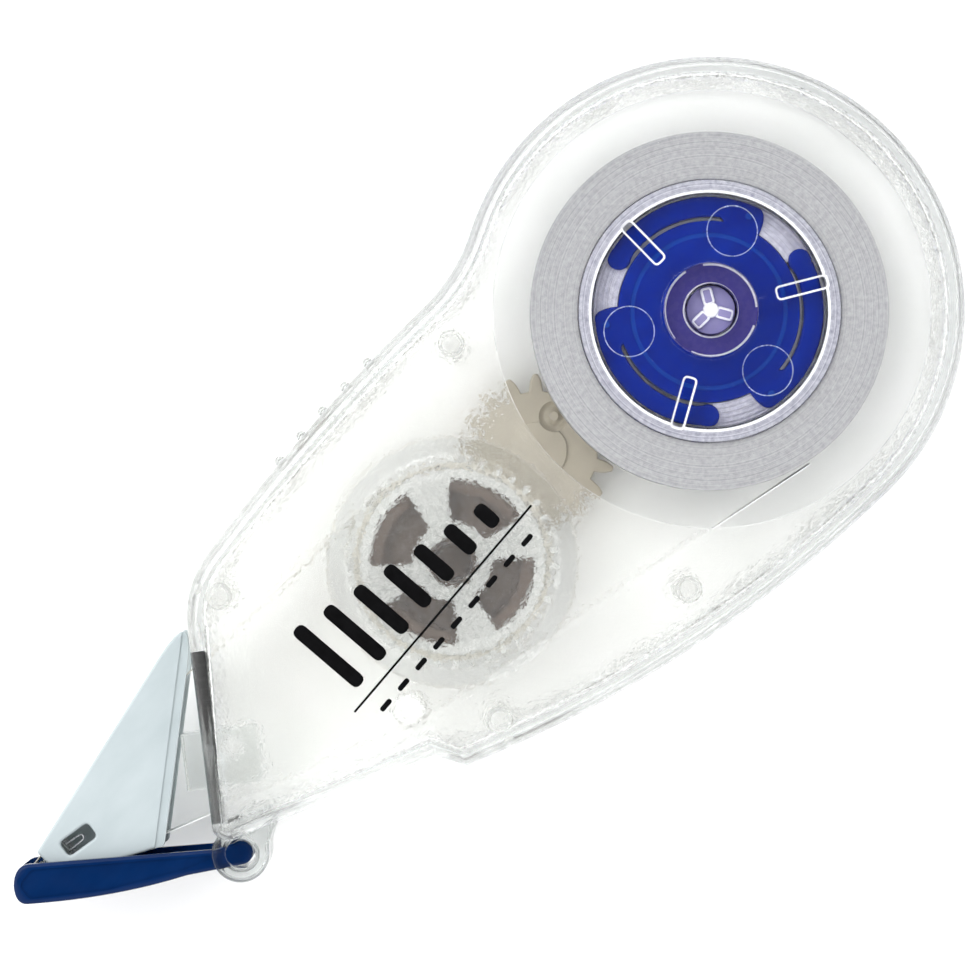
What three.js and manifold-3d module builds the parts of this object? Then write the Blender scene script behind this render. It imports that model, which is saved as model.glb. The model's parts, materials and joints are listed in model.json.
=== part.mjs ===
// Correction tape roller, lying on its rear face. Millimetres, +Z up.
// The origin is where the supply reel's axis meets the resting face: +X runs from
// the writing tip towards the big round end, +Y towards the ribbed edge.
import * as THREE from 'three';
import { mergeVertices } from 'three/addons/utils/BufferGeometryUtils.js';
import Module from 'manifold-3d';

const wasm = await Module();
wasm.setup();

const degrees = THREE.MathUtils.degToRad;

// ---- Driving dimensions -------------------------------------------------------------

// Case
const CASE_THICK = 15;
const MID = CASE_THICK / 2; // parting plane, and the middle of the tape
const FACE_WALL = 1.2;
const SIDE_WALL = 1.3;
const EDGE_ROUND = 1.2;
const SPLIT_GAP = 0.2; // between the two shells
const BIG_END_R = 19.7;
const BELLY_R = 100; // long curve of the lower edge
const TOP_EDGE_Y = 15.75; // highest point of the ribbed edge
const TOP_EDGE_R = 165;
const WAIST_R = 13.8; // hollow curve between ribbed edge and big end
const BROW_R = 8; // corner between ribbed edge and front edge
const FRONT_SLOPE = degrees(52.8);
const FRONT_FOOT = [-56.75, -2.93]; // where front edge and lower edge would meet
const CHIN_R = 1.2;
const KEEL_SLOPE = degrees(-21.85);
const KEEL_END = [-39.45, -9.9]; // start of the step that the opened cap lies against
const STEP_FOOT = [-38.25, -11.95];

// Tape and reels
const TAPE_WIDTH = 5;
const TAPE_THICK = 0.12;
const ROLL_GAP = 0.3; // between a straight run and the roll it joins
const SUPPLY_ROLL_R = 14.05;
const SUPPLY_DRUM_R = 10.3;
const SUPPLY_BORE_R = 9.4;
const TAKEUP = [-28.1, 0];
const TAKEUP_FLANGE_R = 9.8;
const TAKEUP_DRUM_R = 7.2;
const USED_ROLL_R = 7.75;
const FIT = 0.15; // clearance of a turning or slipped-on piece

// Gear train, in one layer above the rear face
const MODULE = 0.65;
const SUPPLY_TEETH = 36;
const SMALL_TEETH = 17;
const GEAR_LOW = 1.8;
const GEAR_HIGH = 3.4;
const IDLER_TOP = 3.65; // just under the take-up reel's flange
const BACKLASH = 0.12;
const PRESSURE = degrees(20);

// Slipping clutch inside the supply reel
const DRIVE_HUB_R = 2.95;
const DRIVE_HUB_TOP = 7;
const ARM_LOW = 5.4;
const CLUTCH_HIGH = 8.4;
const CLUTCH_DISC_R = 7.15;

// Head and tip
const PLATE_THICK = 0.8;
const HEAD_HALF = 3.5; // half the width over both plates
const TIP = [-68.7, 5.05];
const TIP_ROLLER_R = 0.62;
const GUIDE_POST = [-38.6, -5.9];
const GUIDE_POST_R = 1.2;

// Cap
const HINGE = [-55.7, -4.7];
const CAP_DIRECTION = degrees(140.2);
const CAP_LENGTH = 17.9;
const CAP_HALF_OUT = 4.7;
const CAP_SIDE_WALL = 0.9;
const CAP_BASE_WALL = 0.75;
const CAP_BASE_START = 4.3; // nearer the hinge there are only the two arms
const CAP_PIN_R = 0.93;
const EAR_R = 2.25;
const EAR_HALF = 3.5;

// ---- Shape and solid helpers --------------------------------------------------------

function solid(geometry) {
  geometry.deleteAttribute('normal');
  geometry.deleteAttribute('uv');
  const merged = mergeVertices(geometry, 1e-4);
  const mesh = new wasm.Mesh({
    numProp: 3,
    vertProperties: Float32Array.from(merged.attributes.position.array),
    triVerts: Uint32Array.from(merged.index.array),
  });
  return new wasm.Manifold(mesh);
}

// The same outline as straight steps, without the doubled points where curves meet
function stepped(shape, curveSegments) {
  const points = shape.getPoints(curveSegments);
  const kept = points.filter((point, i) => point.distanceTo(points.at(i - 1)) > 0.01);
  return new THREE.Shape(kept);
}

function prism(shape, low, high, curveSegments = 12) {
  const geometry = new THREE.ExtrudeGeometry(stepped(shape, curveSegments), {
    depth: high - low,
    bevelEnabled: false,
  });
  geometry.translate(0, 0, low);
  return solid(geometry);
}

function cylinder([x, y], radius, low, high, sides = 24) {
  const geometry = new THREE.CylinderGeometry(radius, radius, high - low, sides);
  geometry.rotateX(Math.PI / 2);
  geometry.translate(x, y, (low + high) / 2);
  return solid(geometry);
}

function ring(centre, outer, inner, low, high, sides = 48) {
  const bore = cylinder(centre, inner, low - 1, high + 1, sides);
  return cylinder(centre, outer, low, high, sides).subtract(bore);
}

function block([x, y, z], [width, depth, height], turn = 0) {
  const geometry = new THREE.BoxGeometry(width, depth, height);
  geometry.rotateZ(turn);
  geometry.translate(x, y, z);
  return solid(geometry);
}

function joined(first, ...others) {
  return others.reduce((whole, piece) => whole.add(piece), first);
}

function polar([x, y], radius, angle) {
  return [x + radius * Math.cos(angle), y + radius * Math.sin(angle)];
}

function between(from, to, share) {
  return [from[0] + (to[0] - from[0]) * share, from[1] + (to[1] - from[1]) * share];
}

// Polygon whose corners [x, y, radius] are rounded
function roundedPolygon(corners) {
  const shape = new THREE.Shape();
  corners.forEach((corner, i) => {
    const before = corners.at(i - 1);
    const after = corners[(i + 1) % corners.length];
    const toBefore = new THREE.Vector2(before[0] - corner[0], before[1] - corner[1]);
    const toAfter = new THREE.Vector2(after[0] - corner[0], after[1] - corner[1]);
    const half = Math.acos(toBefore.clone().normalize().dot(toAfter.clone().normalize())) / 2;
    const setback = corner[2] / Math.tan(half);
    const start = between(corner, before, setback / toBefore.length());
    const end = between(corner, after, setback / toAfter.length());
    if (i === 0) shape.moveTo(...start);
    else shape.lineTo(...start);
    if (corner[2] > 0) shape.quadraticCurveTo(corner[0], corner[1], ...end);
  });
  shape.closePath();
  return shape;
}

function shapeOf(points) {
  return new THREE.Shape(points.map(([x, y]) => new THREE.Vector2(x, y)));
}

function distance(a, b) {
  return Math.hypot(a[0] - b[0], a[1] - b[1]);
}

function arcPoints(centre, radius, from, to, steps) {
  return Array.from({ length: steps + 1 }, (_, i) =>
    polar(centre, radius, from + ((to - from) * i) / steps));
}

function sector(inner, outer, from, to) {
  const shape = new THREE.Shape();
  shape.absarc(0, 0, outer, from, to, false);
  shape.absarc(0, 0, inner, to, from, true);
  shape.closePath();
  return shape;
}

// ---- Idler position ----------------------------------------------------------------

// The idler stands where its pitch circle touches both neighbours' pitch circles
function idlerCentre() {
  const toSupply = (MODULE * (SUPPLY_TEETH + SMALL_TEETH)) / 2;
  const toTakeup = MODULE * SMALL_TEETH;
  const reach = -TAKEUP[0];
  const x = (toTakeup ** 2 - toSupply ** 2 - reach ** 2) / (2 * reach);
  return [x, Math.sqrt(toSupply ** 2 - x ** 2)];
}

const IDLER = idlerCentre();

// ---- Case ---------------------------------------------------------------------------

// The outline is made of arcs joined by straight lines, so an inset outline has the
// same centres, with smaller radii on bulging arcs and larger ones on hollow arcs.
function caseOutline(inset) {
  const waist = [-Math.sqrt((BIG_END_R + WAIST_R) ** 2 - (TOP_EDGE_Y + WAIST_R) ** 2),
    TOP_EDGE_Y + WAIST_R];
  const waistAngle = Math.atan2(waist[1], waist[0]);
  const top = [waist[0], TOP_EDGE_Y - TOP_EDGE_R];
  const brow = browCentre(top);
  const browAngle = Math.atan2(brow[1] - top[1], brow[0] - top[0]);
  const frontNormal = FRONT_SLOPE + Math.PI / 2;
  const keelNormal = KEEL_SLOPE - Math.PI / 2;
  const chinHalf = (FRONT_SLOPE - KEEL_SLOPE) / 2;
  const chin = polar(FRONT_FOOT, CHIN_R / Math.sin(chinHalf), FRONT_SLOPE - chinHalf);
  const belly = [0, BELLY_R - BIG_END_R];
  const bellyStart = Math.atan2(STEP_FOOT[1] - belly[1], STEP_FOOT[0] - belly[0]);

  const points = [
    ...arcPoints(belly, BELLY_R - inset, bellyStart, -Math.PI / 2, 8),
    ...arcPoints([0, 0], BIG_END_R - inset, -Math.PI / 2, waistAngle, 26),
    ...arcPoints(waist, WAIST_R + inset, waistAngle - Math.PI, -Math.PI / 2, 4),
    ...arcPoints(top, TOP_EDGE_R - inset, Math.PI / 2, browAngle, 5),
    ...arcPoints(brow, BROW_R - inset, browAngle, frontNormal, 5),
    ...arcPoints(chin, CHIN_R - Math.min(inset, CHIN_R - 0.3),
      frontNormal, keelNormal + 2 * Math.PI, 5),
    polar(KEEL_END, inset, keelNormal + Math.PI),
  ];
  return points.filter((point, i) => distance(point, points.at(i - 1)) > 0.01);
}

// Centre of the corner arc that touches both the front edge and the ribbed edge's arc
function browCentre(top) {
  const along = new THREE.Vector2(Math.cos(FRONT_SLOPE), Math.sin(FRONT_SLOPE));
  const start = new THREE.Vector2(FRONT_FOOT[0] + BROW_R * along.y - top[0],
    FRONT_FOOT[1] - BROW_R * along.x - top[1]);
  const b = start.dot(along);
  const c = start.lengthSq() - (TOP_EDGE_R - BROW_R) ** 2;
  const travel = Math.sqrt(b * b - c) - b;
  return [start.x + top[0] + travel * along.x, start.y + top[1] + travel * along.y];
}

function ribbedEdgeY(x) {
  const fromTop = x + Math.sqrt((BIG_END_R + WAIST_R) ** 2 - (TOP_EDGE_Y + WAIST_R) ** 2);
  return TOP_EDGE_Y - TOP_EDGE_R + Math.sqrt(TOP_EDGE_R ** 2 - fromTop ** 2);
}

// Solid inside a stack of outlines with equal numbers of points, from the bottom up
function loft(levels) {
  const count = levels[0].points.length;
  const positions = levels.flatMap(({ points, z }) => points.flatMap(([x, y]) => [x, y, z]));
  const faces = [];
  for (let level = 1; level < levels.length; level += 1) {
    for (let i = 0; i < count; i += 1) {
      const low = (level - 1) * count + i;
      const lowNext = (level - 1) * count + ((i + 1) % count);
      faces.push(low, lowNext, lowNext + count, low, lowNext + count, low + count);
    }
  }
  const flat = levels[0].points.map(([x, y]) => new THREE.Vector2(x, y));
  const topStart = (levels.length - 1) * count;
  for (const [a, b, c] of THREE.ShapeUtils.triangulateShape(flat, [])) {
    faces.push(a, c, b, topStart + a, topStart + b, topStart + c);
  }
  const geometry = new THREE.BufferGeometry();
  geometry.setAttribute('position', new THREE.Float32BufferAttribute(positions, 3));
  geometry.setIndex(faces);
  return solid(geometry);
}

// Full-thickness case with a rounded edge on both faces
function caseBlank() {
  const steps = [0, 30, 60, 90];
  const edge = steps.map((angle) => ({
    inset: EDGE_ROUND * (1 - Math.sin(degrees(angle))),
    depth: EDGE_ROUND * (1 - Math.cos(degrees(angle))),
  }));
  const lower = edge.map(({ inset, depth }) => ({ points: caseOutline(inset), z: depth }));
  const upper = edge.reverse().map(({ inset, depth }) => (
    { points: caseOutline(inset), z: CASE_THICK - depth }));
  return loft([...lower, ...upper]);
}

function caseCavity() {
  const outline = shapeOf(caseOutline(SIDE_WALL));
  return prism(outline, FACE_WALL, CASE_THICK - FACE_WALL);
}

function fingerRibs() {
  const pitch = 2.55;
  const ribs = [0, 1, 2, 3, 4].map((i) => {
    const x = -32.2 + i * pitch;
    return cylinder([x, ribbedEdgeY(x) + 0.05], 0.4, 2.5, CASE_THICK - 2.5, 10);
  });
  return joined(...ribs);
}

// Lugs at the lower front corner that hold the cap's pins
function hingeEar() {
  const shape = new THREE.Shape();
  shape.absarc(...HINGE, EAR_R, degrees(118), degrees(325), false);
  shape.quadraticCurveTo(-53.3, -5.35, -51.7, -4.85);
  shape.lineTo(-51.2, -3.6);
  shape.lineTo(-54.6, -2.0);
  shape.closePath();
  const bore = cylinder(HINGE, CAP_PIN_R + 0.22, 0, CASE_THICK, 20);
  return prism(shape, MID - EAR_HALF, MID + EAR_HALF, 16).subtract(bore);
}

// Slot in the front edge that the neck and both tape runs pass through
function caseMouth() {
  const from = 1.7;
  const to = 15.2;
  const middle = polar(FRONT_FOOT, (from + to) / 2, FRONT_SLOPE);
  const width = TAPE_WIDTH + 1.2;
  return block([...middle, MID], [to - from, 2 * SIDE_WALL + 1.8, width], FRONT_SLOPE);
}

const LATCHES = [[-16.3, 12.2], [-16.4, -14.3], [-42.9, 10.8], [-34, -11.3]];
const LATCH_PEG_R = 0.8;
const SUPPLY_POST_R = 1.9;
const TAKEUP_PIN_R = 1.5;
const IDLER_POST_R = 1.3;
const IDLER_POST_TOP = 2.9;
const SLACK_HOLE_R = 3.2;

function frontShell() {
  const inside = CASE_THICK - FACE_WALL + 0.2; // bosses root inside the face wall
  let shell = caseBlank().subtract(caseCavity());
  shell = joined(shell, hingeEar(), fingerRibs()).subtract(caseMouth());
  shell = shell.intersect(block([-20, 0, MID + SPLIT_GAP / 2 + 10], [120, 60, 20]));
  for (const latch of LATCHES) {
    const socket = ring(latch, LATCH_PEG_R + 0.75, LATCH_PEG_R + FIT, MID + 0.1, inside, 20);
    shell = shell.add(socket);
  }
  shell = shell.add(ring([0, 0], 3.65, SUPPLY_POST_R + FIT, 11.4, inside, 32));
  return shell.add(cylinder(TAKEUP, TAKEUP_PIN_R, 6, inside, 20));
}

function rearShell() {
  const inside = FACE_WALL - 0.2;
  let shell = caseBlank().subtract(caseCavity());
  shell = joined(shell, hingeEar(), fingerRibs()).subtract(caseMouth());
  shell = shell.intersect(block([-20, 0, MID - SPLIT_GAP / 2 - 10], [120, 60, 20]));
  for (const latch of LATCHES) {
    shell = shell.add(cylinder(latch, LATCH_PEG_R, inside, 12, 16));
    shell = shell.add(cylinder(latch, LATCH_PEG_R + 0.7, inside, MID - 0.1, 16));
  }
  shell = shell.add(cylinder([0, 0], SUPPLY_POST_R, inside, 13.2, 20));
  shell = shell.add(cylinder(IDLER, IDLER_POST_R, inside, IDLER_POST_TOP, 20));
  shell = shell.add(cylinder(GUIDE_POST, GUIDE_POST_R, inside, MID + 3.2, 20));
  return shell.subtract(cylinder(TAKEUP, SLACK_HOLE_R, -1, FACE_WALL + 1, 28));
}

// ---- Gears --------------------------------------------------------------------------

function gearShape(teeth, phase) {
  const pitchR = (MODULE * teeth) / 2;
  const baseR = pitchR * Math.cos(PRESSURE);
  const outerR = pitchR + 0.92 * MODULE;
  const rootR = pitchR - 1.2 * MODULE;
  const involute = (angle) => Math.tan(angle) - angle;
  const pitchHalf = Math.PI / (2 * teeth) - BACKLASH / (2 * pitchR);
  const flankStart = Math.max(baseR, rootR + 0.05);
  const halfAngle = (r) => pitchHalf + involute(PRESSURE) - involute(Math.acos(baseR / r));
  const flankSteps = 2;
  const points = [];
  for (let tooth = 0; tooth < teeth; tooth += 1) {
    const centre = phase + (tooth * 2 * Math.PI) / teeth;
    const flank = [];
    for (let step = 0; step <= flankSteps; step += 1) {
      const r = flankStart + ((outerR - flankStart) * step) / flankSteps;
      flank.push([r, halfAngle(r)]);
    }
    const rising = [[rootR, flank[0][1] + 0.02], ...flank];
    rising.forEach(([r, half]) => points.push(polar([0, 0], r, centre - half)));
    rising.reverse().forEach(([r, half]) => points.push(polar([0, 0], r, centre + half)));
  }
  return shapeOf(points);
}

function gear(teeth, phase, centre) {
  return prism(gearShape(teeth, phase), GEAR_LOW, GEAR_HIGH).translate([...centre, 0]);
}

const toIdler = Math.atan2(IDLER[1], IDLER[0]);
const toTakeup = Math.atan2(TAKEUP[1] - IDLER[1], TAKEUP[0] - IDLER[0]);
const smallPitch = (2 * Math.PI) / SMALL_TEETH;
const supplyPhase = toIdler; // a tooth on the line of centres
const idlerPhase = toIdler + Math.PI + smallPitch / 2; // meets a gap
const idlerLead = (idlerPhase - toTakeup) % smallPitch;
const takeupPhase = toTakeup + Math.PI - idlerLead + smallPitch / 2;

// Clear gear under the supply reel, with a six-sided hub that drives the clutch
function supplyGear() {
  const hub = cylinder([0, 0], DRIVE_HUB_R, GEAR_HIGH - 0.2, DRIVE_HUB_TOP, 6);
  const bore = cylinder([0, 0], SUPPLY_POST_R + FIT, 0, CASE_THICK, 24);
  return gear(SUPPLY_TEETH, supplyPhase, [0, 0]).add(hub).subtract(bore);
}

// Sprung arm of the clutch: from its root on the disc it sweeps round to a free tip
function clutchArm(rootAngle) {
  const tipAngle = rootAngle + degrees(74);
  const arm = prism(sector(7.45, 9.1, rootAngle, tipAngle), ARM_LOW, CLUTCH_HIGH, 10);
  const tip = cylinder(polar([0, 0], 8.2, tipAngle), 0.9, ARM_LOW, CLUTCH_HIGH, 14);
  const rootFrom = rootAngle - degrees(17);
  const root = prism(sector(6.8, 9.1, rootFrom, rootAngle + degrees(6)), ARM_LOW, CLUTCH_HIGH, 6);
  return joined(arm, tip, root);
}

function clutchSpider() {
  let body = cylinder([0, 0], CLUTCH_DISC_R, ARM_LOW - 0.8, CLUTCH_HIGH, 48);
  body = body.add(cylinder([0, 0], 3.3, CLUTCH_HIGH - 0.2, 11, 32));
  for (const root of [31, 151, 271]) {
    body = body.add(clutchArm(degrees(root)));
  }
  body = body.subtract(cylinder([0, 0], DRIVE_HUB_R + FIT, 0, DRIVE_HUB_TOP + 0.2, 6));
  return body.subtract(cylinder([0, 0], SUPPLY_POST_R + FIT, 0, CASE_THICK, 24));
}

function idlerGear() {
  const hub = cylinder(IDLER, 2.3, GEAR_HIGH - 0.2, IDLER_TOP, 20);
  const bore = cylinder(IDLER, IDLER_POST_R + FIT, 0, IDLER_POST_TOP + FIT, 20);
  const dimple = cylinder([IDLER[0] + 2.8, IDLER[1] + 1.1], 1, GEAR_HIGH - 0.5, 5, 16);
  return gear(SMALL_TEETH, idlerPhase, IDLER).add(hub).subtract(bore).subtract(dimple);
}

function takeupGear() {
  let body = gear(SMALL_TEETH, takeupPhase, TAKEUP);
  body = body.add(cylinder(TAKEUP, 4, GEAR_HIGH - 0.2, 4, 24));
  body = body.add(cylinder(TAKEUP, TAKEUP_DRUM_R - 0.8, 3.75, 9.9, 36));
  body = body.add(cylinder(TAKEUP, SLACK_HOLE_R - 0.25, 0.5, GEAR_LOW + 0.2, 28));
  body = body.subtract(block([...TAKEUP, 0.6], [4.6, 1.1, 1.2]));
  return body.subtract(cylinder(TAKEUP, TAKEUP_PIN_R + FIT, 4.6, 12, 20));
}

// ---- Reels and rolls ----------------------------------------------------------------

function supplyReel() {
  const low = MID - TAPE_WIDTH / 2 - 0.4;
  const high = MID + TAPE_WIDTH / 2 + 0.4;
  const drum = ring([0, 0], SUPPLY_DRUM_R, SUPPLY_BORE_R, low, high, 64);
  let body = drum.add(ring([0, 0], SUPPLY_BORE_R + 0.2, 3.65 + FIT, 9.2, high, 64));
  for (const angle of [90, 210, 330]) {
    const middle = polar([0, 0], 7.45, degrees(angle));
    body = body.subtract(block([...middle, 9.8], [3.9, 1.1, 3], degrees(angle)));
  }
  return body;
}

function supplyTapeRoll() {
  const half = TAPE_WIDTH / 2;
  return ring([0, 0], SUPPLY_ROLL_R, SUPPLY_DRUM_R + FIT, MID - half, MID + half, 72);
}

function takeupReel() {
  const flangeLow = MID - TAPE_WIDTH / 2 - 0.4;
  const flangeHigh = MID + TAPE_WIDTH / 2 + 0.3;
  const flangeThick = 0.7;
  const top = flangeHigh + flangeThick;
  const bore = TAKEUP_DRUM_R - 0.6;
  let body = ring(TAKEUP, TAKEUP_DRUM_R, bore, flangeLow - flangeThick, top, 48);
  body = body.add(ring(TAKEUP, TAKEUP_FLANGE_R, bore, flangeLow - flangeThick, flangeLow, 48));
  body = body.add(ring(TAKEUP, TAKEUP_FLANGE_R, TAKEUP_PIN_R + 0.4, flangeHigh, top, 48));
  for (const middle of [19, 109, 199, 289]) {
    const window = sector(3.1, 6.5, degrees(middle - 30), degrees(middle + 30));
    body = body.subtract(prism(window, flangeHigh - 1, top + 1, 8).translate([...TAKEUP, 0]));
  }
  return body;
}

function usedTapeRoll() {
  const half = TAPE_WIDTH / 2;
  return ring(TAKEUP, USED_ROLL_R, TAKEUP_DRUM_R + FIT, MID - half, MID + half, 48);
}

// ---- Tape runs ----------------------------------------------------------------------

// Angle, between -180 and 180 degrees, from a circle's centre to where it is touched
// by the line that runs from circle a to circle b on their left-hand side
function tangentNormal(a, radiusA, b, radiusB) {
  const across = Math.atan2(b[1] - a[1], b[0] - a[0]);
  const normal = across + Math.acos((radiusA - radiusB) / distance(a, b));
  return Math.atan2(Math.sin(normal), Math.cos(normal));
}

function ribbon(points) {
  const side = (sign) => points.map((point, i) => {
    const before = points[Math.max(i - 1, 0)];
    const after = points[Math.min(i + 1, points.length - 1)];
    const angle = Math.atan2(after[1] - before[1], after[0] - before[0]) + Math.PI / 2;
    return polar(point, (sign * TAPE_THICK) / 2, angle);
  });
  const outline = [...side(1), ...side(-1).reverse()];
  return prism(shapeOf(outline), MID - TAPE_WIDTH / 2, MID + TAPE_WIDTH / 2);
}

const wrapR = TIP_ROLLER_R + FIT + TAPE_THICK / 2;
const postWrapR = GUIDE_POST_R + FIT + TAPE_THICK / 2;
const leaveR = SUPPLY_ROLL_R + ROLL_GAP;
const HEAD_GUIDE = [-50.2, 8.25]; // where the return run bends over the head's core

// Fresh tape: off the supply roll, under the guide post, round half of the tip roller
function feedTapeRun() {
  const offSupply = tangentNormal([0, 0], leaveR, GUIDE_POST, postWrapR);
  const offPost = tangentNormal(GUIDE_POST, postWrapR, TIP, wrapR);
  return ribbon([
    polar([0, 0], leaveR, offSupply),
    ...arcPoints(GUIDE_POST, postWrapR, offSupply, offPost, 3),
    ...arcPoints(TIP, wrapR, offPost, degrees(-170), 3),
  ]);
}

// Bare carrier: round the rest of the tip roller and back to the take-up roll
function returnTapeRun() {
  const offTip = Math.atan2(HEAD_GUIDE[1] - TIP[1], HEAD_GUIDE[0] - TIP[0])
    + Math.acos(wrapR / Math.hypot(HEAD_GUIDE[0] - TIP[0], HEAD_GUIDE[1] - TIP[1]));
  return ribbon([
    ...arcPoints(TIP, wrapR, degrees(160), offTip, 3),
    HEAD_GUIDE,
    [TAKEUP[0], TAKEUP[1] + USED_ROLL_R + ROLL_GAP],
  ]);
}

// ---- Head ---------------------------------------------------------------------------

const PLATE_OUTLINE = [
  [-67.2, 6.45, 0.3], [-67.2, 3.75, 0.3], [-59.7, -0.15, 0.5], [-44.4, 11.98, 1.25],
];
const WIRE_WINDOW = [-64.2, 4.9];

function windowShape(length, height) {
  const turn = degrees(-8);
  const corners = [[-1, -1], [1, -1], [1, 1], [-1, 1]].map(([sx, sy]) => {
    const corner = new THREE.Vector2((sx * length) / 2, (sy * height) / 2);
    corner.rotateAround(new THREE.Vector2(), turn);
    return [WIRE_WINDOW[0] + corner.x, WIRE_WINDOW[1] + corner.y, 0.35];
  });
  return roundedPolygon(corners);
}

function headPlate(low, windowed) {
  const plate = prism(roundedPolygon(PLATE_OUTLINE), low, low + PLATE_THICK, 8);
  if (!windowed) return plate;
  return plate.subtract(prism(windowShape(2.75, 1.35), low - 1, low + 2, 4));
}

const CORE_HALF = HEAD_HALF - PLATE_THICK - FIT;

// Block between the plates, with the tape running over and under it
function headCore() {
  const outline = roundedPolygon([
    [-65.1, 5.9, 0.3], [-65.1, 3.6, 0.3], [-58.9, 1.2, 0.3], [-57.2, 2.1, 0.2],
    [-51.2, 7.1, 0.3], [-50.2, 7.95, 0.3],
  ]);
  const pocket = prism(windowShape(2.75, 1.35), MID + 0.6, MID + 4, 4);
  return prism(outline, MID - CORE_HALF, MID + CORE_HALF, 4).subtract(pocket);
}

// Stalk that plugs into the case mouth, square to the front edge
function headNeck() {
  const outline = roundedPolygon([
    [-52.85, 5.25, 0.2], [-55.6, 1.65, 0.2], [-50.7, -1.95, 0.6], [-47.95, 1.65, 0.6],
  ]);
  const bore = cylinder([-50.6, 1.7], 0.9, 0, CASE_THICK, 16);
  return prism(outline, MID - 2.2, MID + 2.2, 4).subtract(bore);
}

// Fork that carries the tip roller, with a tongue held between the plates
function tipHolder() {
  const tongue = roundedPolygon([
    [-67.8, 5.5, 0.1], [-67.8, 4.5, 0.1], [-65.4, 3.95, 0.1], [-65.4, 5.85, 0.1],
  ]);
  const bridge = roundedPolygon([
    [-67.8, 5.6, 0.1], [-67.8, 4.45, 0.1], [-67.45, 4.3, 0.1], [-67.45, 5.75, 0.1],
  ]);
  const arm = roundedPolygon([
    [-67.5, 5.7, 0.1], [TIP[0], TIP[1] + 0.7, 0], [TIP[0], TIP[1] - 0.7, 0], [-67.5, 4.35, 0.1],
  ]);
  let body = prism(tongue, MID - CORE_HALF, MID + CORE_HALF, 2);
  body = body.add(prism(bridge, MID - HEAD_HALF, MID + HEAD_HALF, 2));
  for (const low of [MID - HEAD_HALF, MID + HEAD_HALF - 0.7]) {
    body = joined(body, cylinder(TIP, 0.8, low, low + 0.7, 16), prism(arm, low, low + 0.7, 2));
  }
  return body.subtract(cylinder(TIP, 0.38, 0, CASE_THICK, 14));
}

function tipRoller() {
  return ring(TIP, TIP_ROLLER_R, 0.34, MID - 2.6, MID + 2.6, 20);
}

function tipAxle() {
  return cylinder(TIP, 0.22, MID - HEAD_HALF + 0.1, MID + HEAD_HALF - 0.1, 14);
}

// Hairpin of spring wire that lies in the core's pocket, behind the plate's window
function tipSpring() {
  const height = MID + 1.7;
  const wireR = 0.11;
  const path = new THREE.CurvePath();
  const point = (along, across) => {
    const turned = new THREE.Vector2(along, across).rotateAround(new THREE.Vector2(), degrees(-8));
    return new THREE.Vector3(WIRE_WINDOW[0] + turned.x, WIRE_WINDOW[1] + turned.y, height);
  };
  path.add(new THREE.LineCurve3(point(-1.15, 0.3), point(0.1, 0.24)));
  path.add(new THREE.CatmullRomCurve3([point(0.1, 0.24), point(0.35, 0), point(0.1, -0.24)]));
  path.add(new THREE.LineCurve3(point(0.1, -0.24), point(-1.15, -0.3)));
  const section = new THREE.Shape();
  section.absarc(0, 0, wireR, 0, 2 * Math.PI, false);
  return solid(new THREE.ExtrudeGeometry(section, {
    steps: 14,
    extrudePath: path,
    curveSegments: 3,
  }));
}

// ---- Cap ----------------------------------------------------------------------------

// Drawn closed, with its own x axis from the hinge pin to the far end, y to its back
function capProfile() {
  const shape = new THREE.Shape();
  shape.absarc(0, 0, CAP_PIN_R, degrees(95), degrees(300), false);
  shape.lineTo(2, -0.4);
  shape.lineTo(16.6, -0.4);
  shape.quadraticCurveTo(CAP_LENGTH - 0.15, -0.35, CAP_LENGTH, 1.2);
  shape.quadraticCurveTo(CAP_LENGTH, 2.7, 16.9, 2.72);
  shape.quadraticCurveTo(10, 2.75, 4.4, 1.45);
  shape.closePath();
  return shape;
}

function capHollow() {
  const shape = new THREE.Shape();
  shape.moveTo(-3, -3);
  shape.lineTo(16.2, -3);
  shape.lineTo(17.3, -0.5);
  shape.quadraticCurveTo(17.35, 1.95, 16.4, 2.72 - CAP_BASE_WALL);
  shape.quadraticCurveTo(10, 2.7 - CAP_BASE_WALL, 4.6, 1.45 - CAP_BASE_WALL);
  shape.lineTo(CAP_BASE_START, 0.4);
  shape.lineTo(CAP_BASE_START, 3);
  shape.lineTo(-3, 3);
  shape.closePath();
  return shape;
}

function cap() {
  const inner = CAP_HALF_OUT - CAP_SIDE_WALL;
  let body = prism(capProfile(), MID - CAP_HALF_OUT, MID + CAP_HALF_OUT, 10);
  body = body.subtract(prism(capHollow(), MID - inner, MID + inner, 10));
  for (const low of [MID - inner - 0.2, MID + inner - 2]) {
    body = body.add(cylinder([0, 0], CAP_PIN_R, low, low + 2.2, 16));
  }
  return body.rotate([0, 0, THREE.MathUtils.radToDeg(CAP_DIRECTION)]).translate([...HINGE, 0]);
}

// ---- Assembly -----------------------------------------------------------------------

const FINISH = {
  clear: { color: 0xe9ecea, roughness: 0.35 },
  head: { color: 0xcdd8dc, roughness: 0.45 },
  blue: { color: 0x14268f, roughness: 0.4 },
  navy: { color: 0x00235a, roughness: 0.35 },
  beige: { color: 0xc4beaf, roughness: 0.5 },
  taupe: { color: 0x8b7d73, roughness: 0.5 },
  white: { color: 0xf2f2ee, roughness: 0.6 },
  carrier: { color: 0xd8d2c4, roughness: 0.4 },
  steel: { color: 0xb8bcc0, roughness: 0.25, metalness: 0.9 },
};

const group = new THREE.Group();

function addPart(name, body, finish) {
  const data = body.getMesh();
  const geometry = new THREE.BufferGeometry();
  geometry.setAttribute('position', new THREE.BufferAttribute(data.vertProperties, 3));
  geometry.setIndex(new THREE.BufferAttribute(data.triVerts, 1));
  geometry.computeVertexNormals();
  const mesh = new THREE.Mesh(geometry, new THREE.MeshStandardMaterial(FINISH[finish]));
  mesh.name = name;
  group.add(mesh);
}

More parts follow.
